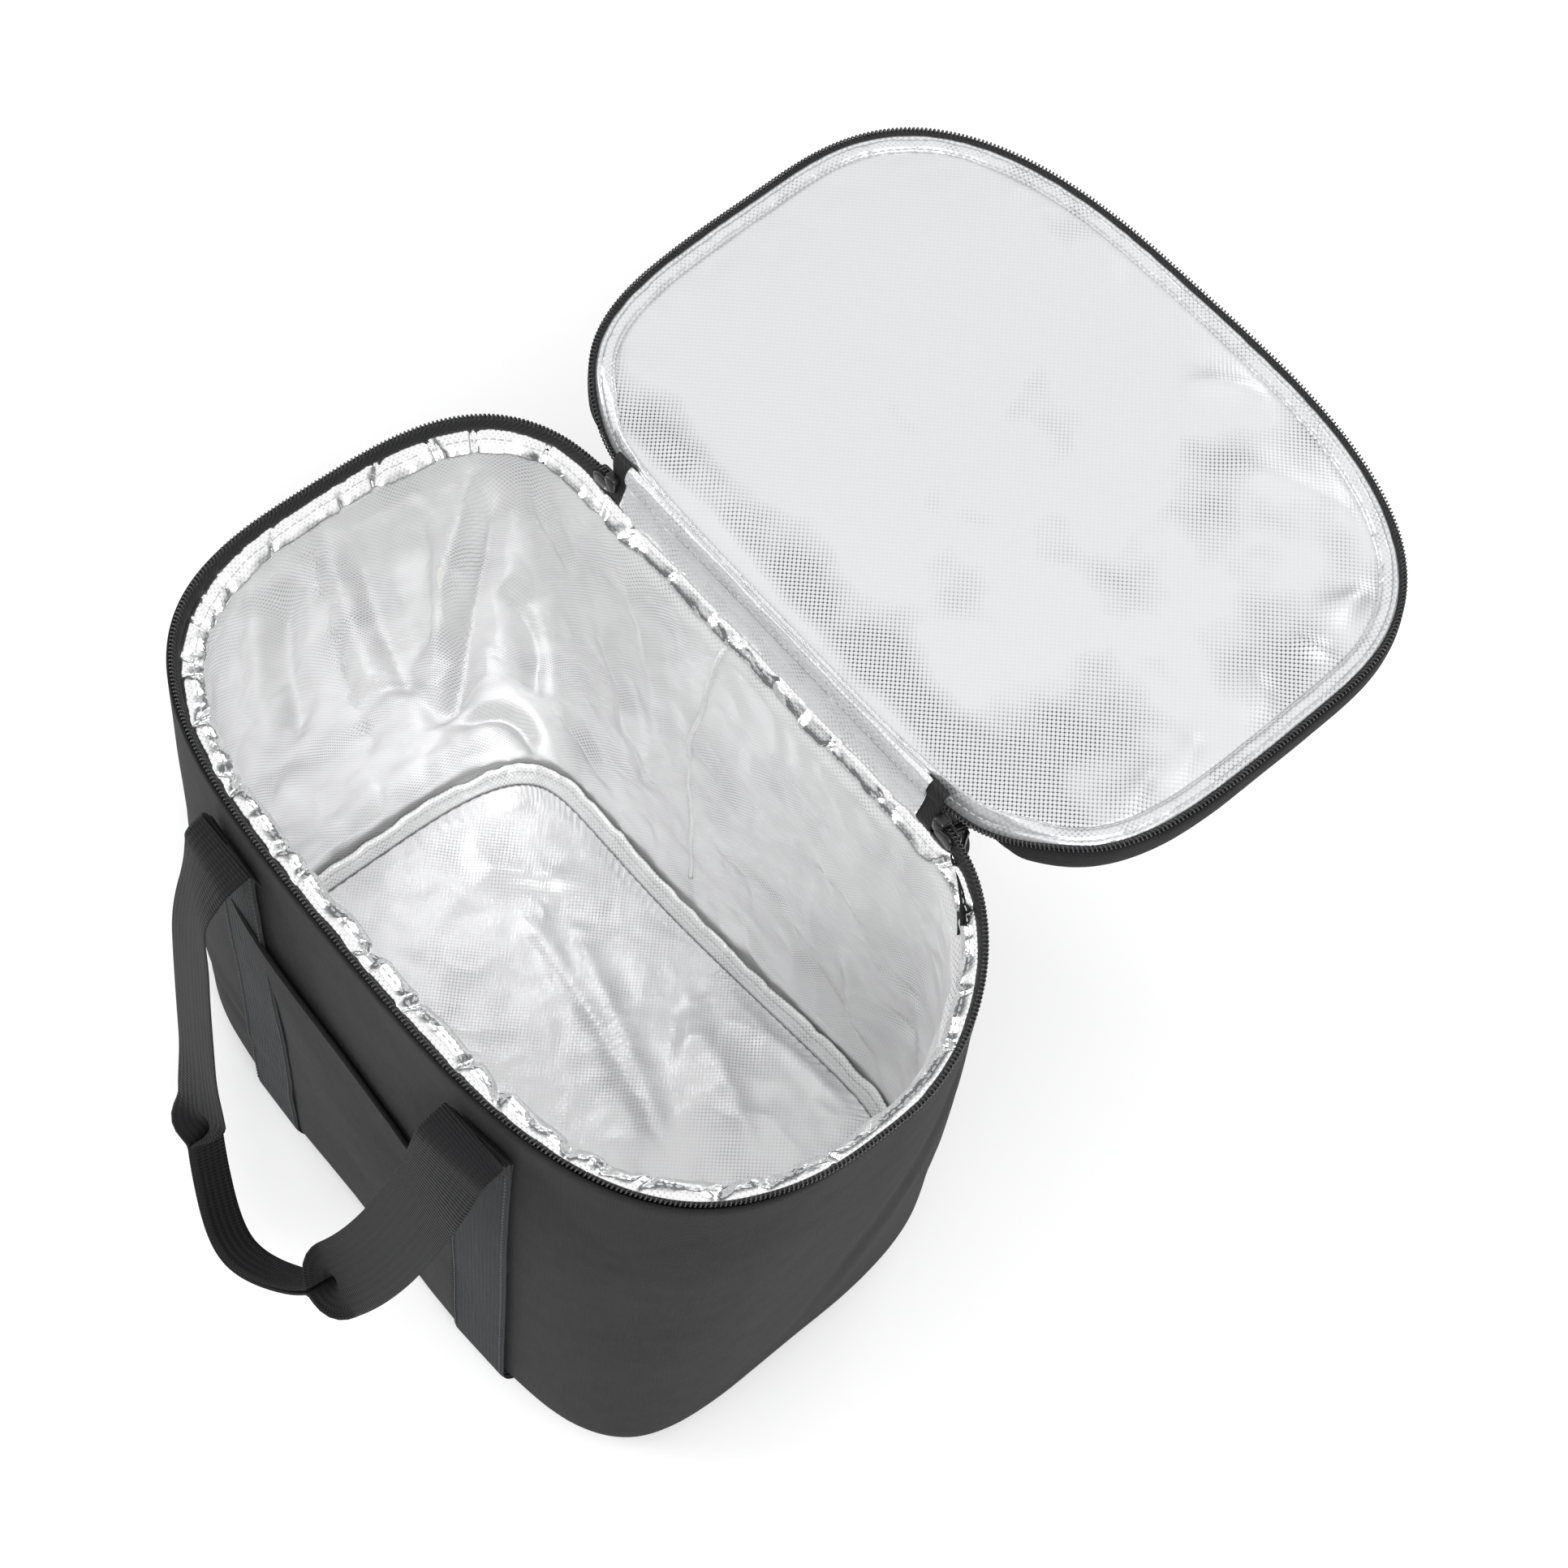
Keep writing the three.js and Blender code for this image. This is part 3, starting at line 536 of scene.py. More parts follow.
def buildOuterCloth():
    edge = bag["edgeRadius"]
    rows = []
    for k in range(wall["edgeRows"]):
        turn = math.radians(90 * (1 - k / wall["edgeRows"]))
        z = edge - edge * math.sin(turn)
        rows.append(ring(z, edge - edge * math.cos(turn), roundQ))
    for z in np.linspace(edge, bag["wallTop"], wall["rows"]):
        rows.append(ring(z, 0.0, roundQ))
    outer = []
    for row in rows:
        flatOut = normals2d(np.clip(row[:, 2], edge, None), roundQ)
        outer.append(row + flatOut * (softWall(row) * smooth(0, 30, row[:, 2]))[:, None])
    # the top edge is folded in, and the inside is plain
    lip = [ring(bag["wallTop"] + 0.5, 0.6, roundQ), ring(bag["wallTop"] - 0.2, 1.6, roundQ)]
    inner = [ring(z, 1.6, roundQ) for z in np.linspace(bag["wallTop"] - 6, edge, wall["innerRows"])]
    inner.append(ring(bag["cloth"], edge, roundQ))
    obj = gridMesh("outer_cloth", outer + lip + inner, outerFinish, loopU=True, loopV=True)
    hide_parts("outer_wall")
    return obj


bottom = {"seamGap": 1.0, "shrinks": [1.0, 0.985, 0.96, 0.8, 0.55, 0.3, 0.08]}


def buildBottom():
    # bottom cloth with its own seam round the edge
    edge = bag["edgeRadius"] + bottom["seamGap"]
    rim = ring(0.0, edge, roundQ)
    rows = [rim * [s, s, 1] + [0, 0, 0.15 if s < 0.99 else 0.5] for s in bottom["shrinks"]]
    upper = [rim * [s, s, 1] + [0, 0, bag["cloth"]] for s in reversed(bottom["shrinks"])]
    obj = gridMesh("bottom_cloth", rows + upper, outerFinish, loopU=True, caps=True)
    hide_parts("outer_base")
    return obj


padding = {"outer": 2.0, "inner": 9.4, "top": 308.0, "floorEdge": 0.55, "columns": 160,
           "floor": (4.6, 12.0), "board": (1.6, 4.0)}


def flatPad(name, material, edge, heights, q):
    # a flat plate that fills the outline, set in by edge, between two heights
    rim = ring(bag["edgeRadius"], edge, q)
    rows = [rim * [s, s, 0] + [0, 0, z] for z, s in zip(np.repeat(heights, 2), (0.05, 1, 1, 0.05))]
    return gridMesh(name, rows, material, loopU=True, caps=True)


def buildFoam():
    q, _ = evenlyRound(mouthSection, padding["columns"])
    up = list(np.linspace(bag["edgeRadius"], padding["top"], 10))
    rows = [ring(z, padding["outer"], q) for z in up]
    rows += [ring(z, padding["inner"], q) for z in reversed(up)]
    foam = gridMesh("wall_foam", rows, foamFinish, loopU=True, loopV=True)
    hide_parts("foam_wall")
    floorEdge = bag["edgeRadius"] * padding["floorEdge"]
    floorFoam = flatPad("floor_foam", foamFinish, floorEdge, padding["floor"], q)
    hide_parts("foam_floor")
    board = flatPad("floor_board", boardFinish, bag["edgeRadius"], padding["board"], q)
    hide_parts("base_board")
    return [foam, floorFoam, board]


# mouth: zip tape, coil, hem

# the amounts at the right and left end are how much closer to the wall things lie there; rightAt and
# leftAt are where on the outline the zip's ends are looked for
mouth = {"coilInset": 2.5, "coilRight": 1.8, "coilLeft": 0.8, "coilZ": 330.4, "coilRise": 1.2,
         "hemStart": 4.9, "hemRight": 3.0, "hemLeft": 1.8, "hemTop": 324.4, "hemRiseLeft": 1.6, "tape": 0.6,
         "zipLeft": -112.0, "zipRight": 107.0, "rightAt": (0.3, 1.0), "leftAt": (2.0, 2.7), "zipPoints": 900}


def towards(q, x, y, low, high):
    # 1 where the mouth's wall faces the direction (x, y), fading to 0
    normal = normals2d(bag["zipHeight"], q)
    return smooth(low, high, normal[..., 0] * x + normal[..., 1] * y)


def alongHinge(q):
    return smooth(1.0, 1.15, q) * smooth(2.0, 1.85, q)


def rightEnd(q):
    # round the mouth's right end and back right corner hem, tape and coil lie close together
    return towards(q, 0.85, 0.53, 0.55, 0.88)


def leftEnd(q):
    return towards(q, -0.8, 0.6, 0.45, 0.8) * (1 - alongHinge(q))


def nearestQ(section, low, high, x):
    dense = np.linspace(low, high, 4001)
    return dense[np.argmin(np.abs(outline(section, dense % 5)[0] - x))]


def zipRun(section, startQ, endQ, count):
    # q evenly spaced along the zip from one end at the hinge to the other; q may run past 0 or 5
    path = np.linspace(startQ, endQ, 8001)
    x, y = outline(section, path % 5)
    run = np.concatenate([[0], np.cumsum(np.hypot(np.diff(x), np.diff(y)))])
    return np.interp(np.linspace(0, run[-1], count), run, path) % 5, run[-1]


coil = {"pitch": 2.0, "wire": 0.46, "halfWidth": 1.1, "halfHeight": 0.85, "turnPoints": 12, "wireSides": 5}


def coilMesh(name, path, across, over):
    # one monofilament wound along the path: across points to the teeth's heads, over is its other side
    run = runLengths(path, False)
    turns = int(run[-1] / coil["pitch"])
    count = turns * coil["turnPoints"]
    along = np.linspace(0, run[-1], count)
    centre, side, rise = [readAlong(field, run, along) for field in (path, across, over)]
    turn = along / coil["pitch"] * 2 * math.pi
    cos, sin = np.cos(turn)[:, None], np.sin(turn)[:, None]
    # the heads are pressed a little wider than the rest of each turn
    head = 1 + 0.16 * np.clip(cos, 0, 1) ** 4
    line = centre + side * cos * head * coil["halfWidth"] + rise * sin * coil["halfHeight"]
    tangent = unit(np.gradient(line, axis=0))
    radial = line - centre
    radial = unit(radial - tangent * np.sum(radial * tangent, 1, keepdims=True))
    third = np.cross(tangent, radial)
    points = []
    for k in range(coil["wireSides"]):
        a = 2 * math.pi * k / coil["wireSides"]
        points.append(line + (radial * math.cos(a) + third * math.sin(a)) * coil["wire"])
    # the grid's rows follow the wire
    return gridMesh(name, np.stack(points, 1), coilFinish, loopU=True, caps=True)


def buildBodyZip():
    startQ = nearestQ(mouthSection, *mouth["rightAt"], mouth["zipRight"])
    endQ = nearestQ(mouthSection, *mouth["leftAt"], mouth["zipLeft"]) - 5
    q, length = zipRun(mouthSection, startQ, endQ, mouth["zipPoints"])
    run = np.linspace(0, length, len(q))
    rise = mouth["coilRise"] * smooth(26, 0, np.minimum(run, length - run))
    wander = 0.35 * wrinkle(ring(bag["zipHeight"], 0.0, q), 35, 5.0)
    inset = mouth["coilInset"] - mouth["coilRight"] * rightEnd(q) - mouth["coilLeft"] * leftEnd(q)
    path = ring(mouth["coilZ"], inset, q) + np.stack([0 * rise, 0 * rise, rise + wander], -1)
    out = normals2d(bag["zipHeight"], q)
    up = np.array([0, 0, 1.0]) + 0 * out
    # the teeth's heads point up and a little out
    head = up * 0.94 + out * 0.34
    flat = out * 0.94 - up * 0.34
    coilObj = coilMesh("body_coil", path, head, flat)
    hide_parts("body_zip_coil")
    # tape: from the coil in and down to under the hem
    core = [path + up * 0.5, path - up * 0.6 - out * 1.0, path - up * 2.4 - out * 1.8,
            path - up * 5.0 - out * 2.3, path - up * 9.5 - out * 2.4]
    tape = thicken(gridMesh("body_tape", core, tapeFinish), mouth["tape"], 0)
    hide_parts("body_zip_tape")
    return [coilObj, tape]


hem = {"width": 12.0, "widthAtHinge": 8.2, "widthAtRight": 8.6, "thick": 4.6, "fall": 4.2, "stitchAt": 0.58,
       "sides": 28, "columns": 1050,
       "pinch": {"seed": 4, "spacing": (11, 42), "depth": (1.4, 3.6), "width": (1.2, 3.2), "slant": 8.0}}
hemQ, _ = evenlyRound(mouthSection, hem["columns"])
hemRun = np.arange(hem["columns"]) / hem["columns"] * mouthLength
hemBase = ring(322.0, 8.0, hemQ)


def pinches(run, across, length, look):
    # seeded short folds that run aslant over a rolled edge: how deep they draw it in
    dice = np.random.default_rng(look["seed"])
    depth = np.zeros(np.broadcast(run, across).shape)
    at = dice.uniform(0, look["spacing"][1])
    while at < length - look["spacing"][0]:
        slant = dice.uniform(-1, 1) * look["slant"]
        away = (run - at - slant * across + length / 2) % length - length / 2
        depth = depth + dice.uniform(*look["depth"]) * np.exp(-(away / dice.uniform(*look["width"])) ** 2)
        at += dice.uniform(*look["spacing"])
    return depth


def hemWidths():
    # width of the rolled foil hem round the mouth
    width = mix(hem["width"], hem["widthAtHinge"], alongHinge(hemQ))
    width = mix(width, hem["widthAtRight"], rightEnd(hemQ))
    width = width + 1.5 * wrinkle(hemBase, 30, 1.7) + 0.4 * wrinkle(hemBase, 11, 6.3)
    return width - (0.7 - 0.3 * alongHinge(hemQ)) * pinches(hemRun, 1.0, mouthLength, hem["pinch"])


hemStart = mouth["hemStart"] - mouth["hemRight"] * rightEnd(hemQ) - mouth["hemLeft"] * leftEnd(hemQ)
hemTop = mouth["hemTop"] + mouth["hemRiseLeft"] * leftEnd(hemQ)


def buildHem():
    width = hemWidths()
    rows = []
    fold = crease(hemBase, 26, 2.2, 2)
    small = crease(hemBase, 9, 9.1, 1)
    for k in range(hem["sides"]):
        turn = 2 * math.pi * k / hem["sides"]
        cos, sin = math.cos(turn), math.sin(turn)
        across = 0.5 + 0.5 * math.copysign(abs(cos) ** 0.75, cos)
        height = math.copysign(abs(sin) ** 0.8, sin)
        inset = hemStart + across * width
        thick = hem["thick"] * (0.55 + 0.45 * math.sin(math.pi * min(across + 0.1, 1)))
        z = hemTop - 1.5 - hem["fall"] * across ** 1.5 + height * thick / 2
        point = ring(z, inset, hemQ)
        drawn = pinches(hemRun, across, mouthLength, hem["pinch"])
        if sin > 0:
            # stitching draws the upper side in along one line
            z = z - 1.1 * math.exp(-((across - hem["stitchAt"]) / 0.07) ** 2)
            z = z - drawn * (0.8 - 0.4 * alongHinge(hemQ)) * math.sin(math.pi * min(across, 1)) ** 0.5
        lively = 0.35 + 0.65 * across
        lift = (1.9 * (fold - 0.7) + 0.5 * (small - 0.6)) * lively
        sway = 0.8 * wrinkle(point, (15, 15, 8), 3.3, 2) * lively
        rows.append(ring(z + lift, inset + sway, hemQ))
    obj = gridMesh("rim_hem_foil", rows, hemFinish, loopU=True, loopV=True)
    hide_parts("rim_hem")
    return obj


paleStitch = {"stitch": 2.6, "gap": 1.2, "radius": 0.28, "proud": 0.1}
darkStitch = {"stitch": 3.0, "gap": 0.9, "radius": 0.32, "proud": 0.15}


def threadRun(name, path, up, material, stitch, gap, radius, proud):
    # a row of short sewn stitches along a path, each a small rounded bar whose ends dip into the cloth
    run = runLengths(path, False)
    total = run[-1]
    count = int(total / (stitch + gap))
    faces, uvs = [], []
    stations = np.array([0, 0.12, 0.5, 0.88, 1.0])
    dips = np.array([-0.25, 0.6, 1.0, 0.6, -0.25])
    starts = (np.arange(count) + 0.15) * total / count
    along = starts[:, None] + stations[None] * stitch
    tangent = np.gradient(path, axis=0)
    tangent /= np.linalg.norm(tangent, axis=1, keepdims=True) + 1e-9
    centre, lift, way = [readAlong(field, run, along) for field in (path, up, tangent)]
    side = np.cross(way, lift)
    side /= np.linalg.norm(side, axis=-1, keepdims=True) + 1e-9
    centre = centre + lift * (proud + radius) * dips[None, :, None]
    ringPoints = []
    for k in range(4):
        a = math.pi / 4 + k * math.pi / 2
        ringPoints.append(centre + (side * math.cos(a) + lift * math.sin(a)) * radius)
    grid = np.stack(ringPoints, 2)
    vertices = grid.reshape(-1, 3)
    perStitch = len(stations) * 4
    for s in range(count):
        base = s * perStitch
        for i in range(len(stations) - 1):
            for k in range(4):
                right = (k + 1) % 4
                faces.append((base + i * 4 + k, base + i * 4 + right,
                              base + i * 4 + 4 + right, base + i * 4 + 4 + k))
                uvs += [(k, i), (k + 1, i), (k + 1, i + 1), (k, i + 1)]
        faces.append(tuple(base + k for k in range(4)))
        faces.append(tuple(base + perStitch - 4 + k for k in range(4)))
        uvs += [(0, 0)] * 8
    return outward(makeMesh(name, vertices, faces, uvs, material))


def buildHemStitches(hemObj):
    # the stitches lie in the hem's sewn groove
    inset = hemStart + hem["stitchAt"] * hemWidths()
    surface = surfaceFinder(hemObj)
    above = ring(bag["zipHeight"] + 3, inset, hemQ)
    path = closedLoop(np.array([surface(p, (0, 0, -1)) for p in above]))
    up = np.zeros_like(path) + [0, 0, 1.0]
    obj = threadRun("hem_stitches", path, up, paleThread, **dict(paleStitch, radius=0.3))
    return obj


def surfaceFinder(obj):
    # looks from a point along a direction for the piece's surface, in mm
    def find(point, direction):
        hit, place, _, _ = obj.ray_cast(Vector(point) * mm, Vector(direction))
        return np.array(place) / mm if hit else np.array(point) + np.array(direction) * 9.0
    return find


outerCloth = buildOuterCloth()
bottomCloth = buildBottom()
hiddenLayers = buildFoam()
bodyZip = buildBodyZip()
rimHem = buildHem()
bpy.context.view_layer.update()
hemStitches = buildHemStitches(rimHem)
bodyPieces = [outerCloth, bottomCloth, *hiddenLayers, *bodyZip, rimHem, hemStitches]
print("body and mouth made")


# inside: lining, floor, its standing seam, the back wall's seam

inside = {"inset": 11.5, "seamInset": 17.5, "top": 317.0, "topOut": 3.6, "rows": 100, "footRows": 7,
          "footIn": 8.0, "footUp": 6.0, "floorRows": 60, "cloth": 0.5}

# folds of the lining wall, each along a line in run round the mouth and height, top or higher run first:
# how far it stands in, and its half width on its two sides
wallFolds = [
    {"line": [(583, 322), (580, 200)], "rise": -2.5, "sides": (8, 8)},
    {"line": [(567, 292), (562, 232), (558, 157)], "rise": 5.0, "sides": (9, 7)},
    {"line": [(549, 322), (543, 279), (537, 232), (522, 92)], "rise": 3.0, "sides": (4, 4)},
    {"line": [(541, 322), (530, 267), (520, 146)], "rise": -3.0, "sides": (5, 5)},
    {"line": [(526, 295), (520, 238), (503, 134)], "rise": 6.0, "sides": (15, 5)},
    {"line": [(490, 289), (486, 225), (494, 165)], "rise": 6.0, "sides": (5, 14)},
    {"line": [(454, 305), (475, 230), (486, 160)], "rise": -4.0, "sides": (9, 9)},
    {"line": [(443, 298), (469, 185), (477, 120), (490, 85)], "rise": 10.0, "sides": (14, 8)},
    {"line": [(511, 159), (494, 121), (492, 85)], "rise": 4.0, "sides": (6, 6)},
    {"line": [(448, 210), (418, 172), (426, 91)], "rise": 7.0, "sides": (8, 18)},
    {"line": [(372, 224), (349, 172), (356, 115)], "rise": 4.0, "sides": (7, 10)},
    {"line": [(350, 307), (323, 200), (337, 95)], "rise": 3.5, "sides": (9, 12)},
    {"line": [(422, 305), (399, 259), (390, 234)], "rise": 4.0, "sides": (6, 8)},
    # level folds low in the corner at the back left, and slack along the back
    {"line": [(488, 84), (450, 76), (433, 54), (432, 30)], "rise": 8.0, "sides": (7, 10)},
    {"line": [(412, 89), (380, 73), (367, 46)], "rise": 4.0, "sides": (7, 9)},
    {"line": [(284, 116), (244, 131), (202, 122)], "rise": 1.6, "sides": (4, 6)},
    # the right end's folds
    {"line": [(155, 173), (121, 195)], "rise": -3.0, "sides": (4, 6)},
    {"line": [(149, 130), (121, 155)], "rise": -3.0, "sides": (4, 6)},
    {"line": [(233, 127), (202, 99), (159, 82), (144, 63)], "rise": -4.0, "sides": (8, 8)},
    {"line": [(210, 215), (180, 223), (165, 199)], "rise": 4.0, "sides": (9, 9)},
    {"line": [(172, 152), (153, 79), (140, 76)], "rise": 4.0, "sides": (8, 8)},
]
# folds of the floor, along lines in x and y
flatFolds = [
    {"line": [(-92, 40), (-37, 33), (34, 18), (77, 6)], "rise": 4.0, "sides": (6, 9)},
    {"line": [(-64, 55), (5, 36), (68, 13)], "rise": 3.0, "sides": (5, 7)},
    {"line": [(107, 40), (57, 60), (36, 69)], "rise": 3.0, "sides": (5, 8)},
    {"line": [(34, 80), (78, 96), (128, 93)], "rise": 3.0, "sides": (6, 8)},
    {"line": [(-131, 32), (-104, 49), (-75, 81)], "rise": 3.0, "sides": (5, 9)},
    {"line": [(28, 54), (35, 60), (41, 67)], "rise": 4.5, "sides": (13, 13)},
    {"line": [(-40, -60), (30, -72), (95, -50)], "rise": 3.0, "sides": (8, 11)},
]


def softLine(points, count):
    # an even, smooth line through a few points
    points = np.asarray(points, float)
    run = runLengths(points, False)
    t = np.linspace(0, run[-1], count)
    rough = readAlong(points, run, t)
    width = max(count // (2 * len(points)), 1)
    for _ in range(2):
        before, after = rough[width:0:-1], rough[-2:-width - 2:-1]
        padded = np.vstack([2 * rough[0] - before, rough, 2 * rough[-1] - after])
        box = np.ones(2 * width + 1) / (2 * width + 1)
        rough = np.stack([np.convolve(padded[:, k], box, "valid") for k in range(points.shape[1])], -1)
    return rough


def foldRise(a, b, fold):
    # one fold over a grid of places (a, b): a crest along its line that fades at both ends
    line = softLine(fold["line"], 36)
    run = runLengths(line, False)
    tangent = unit(np.gradient(line, axis=0))
    near = np.full(np.shape(a), 1e9)
    side = np.zeros(np.shape(a))
    along = np.zeros(np.shape(a))
    for point, way, at in zip(line, tangent, run):
        da, db = a - point[0], b - point[1]
        away = np.hypot(da, db)
        closer = away < near
        near = np.where(closer, away, near)
        side = np.where(closer, way[0] * db - way[1] * da, side)
        along = np.where(closer, at + da * way[0] + db * way[1], along)
    half = mix(fold["sides"][0], fold["sides"][1], smooth(-3, 3, side))
    fade = min(24.0, run[-1] * 0.4)
    ends = smooth(-4, fade, along) * smooth(run[-1] + 4, run[-1] - fade, along)
    return fold["rise"] * ends * np.exp(-(near / half) ** 1.6)


def floorLift(x, y):
    # the floor's foil rises towards the right end and the back, where it is short
    return 14.0 + 34.0 * smooth(-70, 160, x) * smooth(-120, 90, y)


def seamLine(inset):
    # a line round the floor's seam, at the floor's height there
    line = ring(bag["edgeRadius"], inside["seamInset"] + inset, roundQ)
    line[:, 2] = floorLift(line[:, 0], line[:, 1])
    return line


def liningFolds(points, run, seamZ):
    # how far the foil stands in from the foam behind it
    z = points[..., 2]
    fold = sum(foldRise(run, z, one) for one in wallFolds)
    hidden = smooth(640, 700, run) + smooth(90, 40, run)
    fold += (2.2 + 0.8 * hidden) * np.clip(crease(points, (75, 75, 110), 4.4, 3), -0.2, 1)
    fold += 1.3 * np.clip(crease(points, (32, 32, 60), 7.7, 2), 0, 1)
    return fold * smooth(seamZ + 5, seamZ + 22, z) * smooth(319, 300, z)


def buildLiningWall():
    foot = seamLine(inside["footIn"])
    seamZ = foot[:, 2]
    z = mix(seamZ[None] + inside["footUp"] + 0.6, inside["top"], np.linspace(0, 1, inside["rows"])[:, None])
    run = np.broadcast_to(roundRun, z.shape)
    low = smooth(60, 0, z - seamZ)
    inset = mix(inside["inset"], inside["seamInset"], low ** 2)
    plain = np.array([ring(row, across, roundQ) for row, across in zip(z, inset)])
    inset = inset + liningFolds(plain, run, seamZ)
    # its top turns out to the narrow hem at the hinge and the right end
    inset = inset - inside["topOut"] * np.maximum(rightEnd(roundQ), alongHinge(roundQ)) * smooth(305, 315, z)
    # the foot turns in under itself to the seam
    pucker = 1.2 * wrinkle(foot, 13, 2.2, 2)
    rows = []
    for turn in np.linspace(0, math.pi / 2, inside["footRows"], endpoint=False):
        across = inside["seamInset"] + inside["footIn"] * (1 - math.sin(turn)) + pucker * math.sin(turn * 2)
        rows.append(ring(seamZ + 0.6 + inside["footUp"] * (1 - math.cos(turn)), across, roundQ))
    rows += [ring(row, across, roundQ) for row, across in zip(z, inset)]
    obj = thicken(gridMesh("lining_wall_foil", rows, liningFinish, loopU=True), inside["cloth"], 1)
    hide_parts("lining_wall")
    return obj


def floorFolds(x, y):
    points = np.stack([x, y, 0 * x], -1)
    fold = sum(foldRise(x, y, one) for one in flatFolds)
    fold += 1.8 * wrinkle(points, 70, 12.3, 2)
    fold += 1.3 * crease(points, 40, 2.9, 3)
    return fold


def buildLiningFloor():
    foot = seamLine(inside["footIn"] + 1.6)
    # the rows lie closer beside the seam
    shares = np.concatenate([np.linspace(1, 0.93, 9), np.linspace(0.91, 0.02, inside["floorRows"] - 9)])
    shares = shares[:, None]
    x = foot[None, :, 0] * shares
    y = foot[None, :, 1] * shares
    edge = np.broadcast_to((1 - shares) * 150, x.shape)
    # small gathers beside the seam
    phase = roundRun / 6.2 * 2 * math.pi + 2.0 * wrinkle(foot, 60, 3.0)
    gathers = 0.7 * np.sin(phase) * bump(edge, 4, 5)
    z = floorLift(x, y) + floorFolds(x, y) * smooth(0, 16, edge) + gathers
    rows = np.stack([x, y, z], -1)
    obj = gridMesh("lining_floor_foil", rows, floorFinish, loopU=True, flatUv=True, centre=True)
    obj = thicken(obj, inside["cloth"], -1)
    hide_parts("lining_floor")
    return obj


flange = {"foot": 9.0, "top": 2.2, "height": 8.5, "thick": 1.5,
          "pinch": {"seed": 8, "spacing": (14, 36), "depth": (0.6, 1.8), "width": (2.2, 3.4), "slant": 2.0}}


def flangeCentre(share):
    # the seam's standing edge, share 0 at its foot and 1 at its top; it leans out over the slit behind it
    foot = seamLine(flange["foot"])
    corner = bump(foot[:, 0], -150, 40) * smooth(20, 80, foot[:, 1])
    pucker = (1.3 + 1.6 * corner) * wrinkle(foot, 13, 3.9, 2)
    sway = 1.4 * wrinkle(foot, 60, 6.1, 1) + pucker
    inset = mix(flange["foot"], flange["top"], share ** 1.2) + sway * share
    height = flange["height"] * (1 + 0.16 * wrinkle(foot, 22, 8.8, 1))
    height = height - pinches(roundRun, share, mouthLength, flange["pinch"]) * share
    line = ring(bag["edgeRadius"], inside["seamInset"] + inset, roundQ)
    line[:, 2] = foot[:, 2] + 0.4 + share * height
    return line


def buildFlange():
    out = normals2d(bag["edgeRadius"], roundQ)
    half = flange["thick"] / 2
    shares = [0, 0.2, 0.42, 0.46, 0.52, 0.7, 0.88, 0.97]
    # the binding starts at 0.44 of the height and is thicker
    thick = [half, half, half, half * 1.5, half * 1.6, half * 1.25, half * 1.5, half * 1.2]
    rows = [flangeCentre(share) + out * t for share, t in zip(shares, thick)]
    rows.append(flangeCentre(1.0))
    rows += [flangeCentre(share) - out * t for share, t in zip(reversed(shares), reversed(thick))]
    obj = gridMesh("floor_seam_binding", rows, bindingFinish, loopU=True, loopV=True)
    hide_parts("floor_binding")
    path = closedLoop(flangeCentre(0.7) - out * half * 1.2)
    stitches = threadRun("floor_seam_stitches", path, closedLoop(-out), paleThread, **paleStitch)
    return [obj, stitches]


# the join's line on the back wall, in x and z
backSeam = {"path": [(-20, 317), (-32, 244), (-39, 197), (-41, 162), (-34, 102), (-32, 52)],
            "radius": 1.4, "flat": 0.8, "sides": 10}


def buildBackSeam(liningObj):
    # the lining's join on the back wall, a pinched welt under a narrow tape
    surface = surfaceFinder(liningObj)
    line = softLine(backSeam["path"], 90)
    path = np.array([surface((x, 20.0, z), (0, 1, 0)) for x, z in line])
    path[:, 1] -= 0.5
    tangent = unit(np.gradient(path, axis=0))
    side = unit(np.cross(tangent, np.broadcast_to((0, 1, 0), path.shape)))
    rise = np.cross(side, tangent)
    rings = []
    for a in 2 * math.pi * np.arange(backSeam["sides"]) / backSeam["sides"]:
        rings.append(path + side * math.cos(a) * backSeam["radius"] + rise * math.sin(a) * backSeam["radius"]
                     * backSeam["flat"])
    obj = gridMesh("lining_back_seam", np.stack(rings, 1), bindingFinish, loopU=True, caps=True)
    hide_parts("lining_seam_tape")
    return obj


liningWall = buildLiningWall()
liningFloor = buildLiningFloor()
floorSeam = buildFlange()
bpy.context.view_layer.update()
backSeamObj = buildBackSeam(liningWall)
bodyPieces += [liningWall, liningFloor, *floorSeam, backSeamObj]
print("lining made")


# front and back: pocket, straps, handles

def faceY(side, x, z):
    # where the front (-1) or back (+1) of the wall is, at x and z
    s = sectionAt(z)
    right = x > s["x"]
    half = np.where(right, s["right"], s["left"])
    if side < 0:
        power = np.where(right, s["frontRight"], s["frontLeft"])
        along = np.abs(x - s["x"]) / half
        return s["y"] - s["front"] * (1 - along ** power) ** (1 / power)
    power = np.where(right, s["backRight"], s["backLeft"])
    straight = np.where(right, s["straightRight"], s["straightLeft"])
    along = np.maximum(np.abs(x - s["x"]) - straight, 0) / (half - straight)
    return s["y"] + s["back"] * (1 - along ** power) ** (1 / power)


def facePoint(side, x, climb, off):
    # climb is the way up the wall from the top of its bottom edge, below 0 round that edge
    x, climb = np.broadcast_arrays(np.asarray(x, float), np.asarray(climb, float))
    edge = bag["edgeRadius"]
    turn = np.clip(-climb / edge, 0, math.pi / 2)
    z = np.where(climb < 0, edge - edge * np.sin(turn), edge + climb)
    inset = edge - edge * np.cos(turn)
    y = faceY(side, x, z) - side * inset
    plain = np.stack([x, y, z], -1)
    swell = softWall(plain) * smooth(0, 30, z)
    normal = np.stack([0 * x, side * np.cos(turn), -np.sin(turn)], -1)
    return plain + normal * (swell + off)[..., None], normal


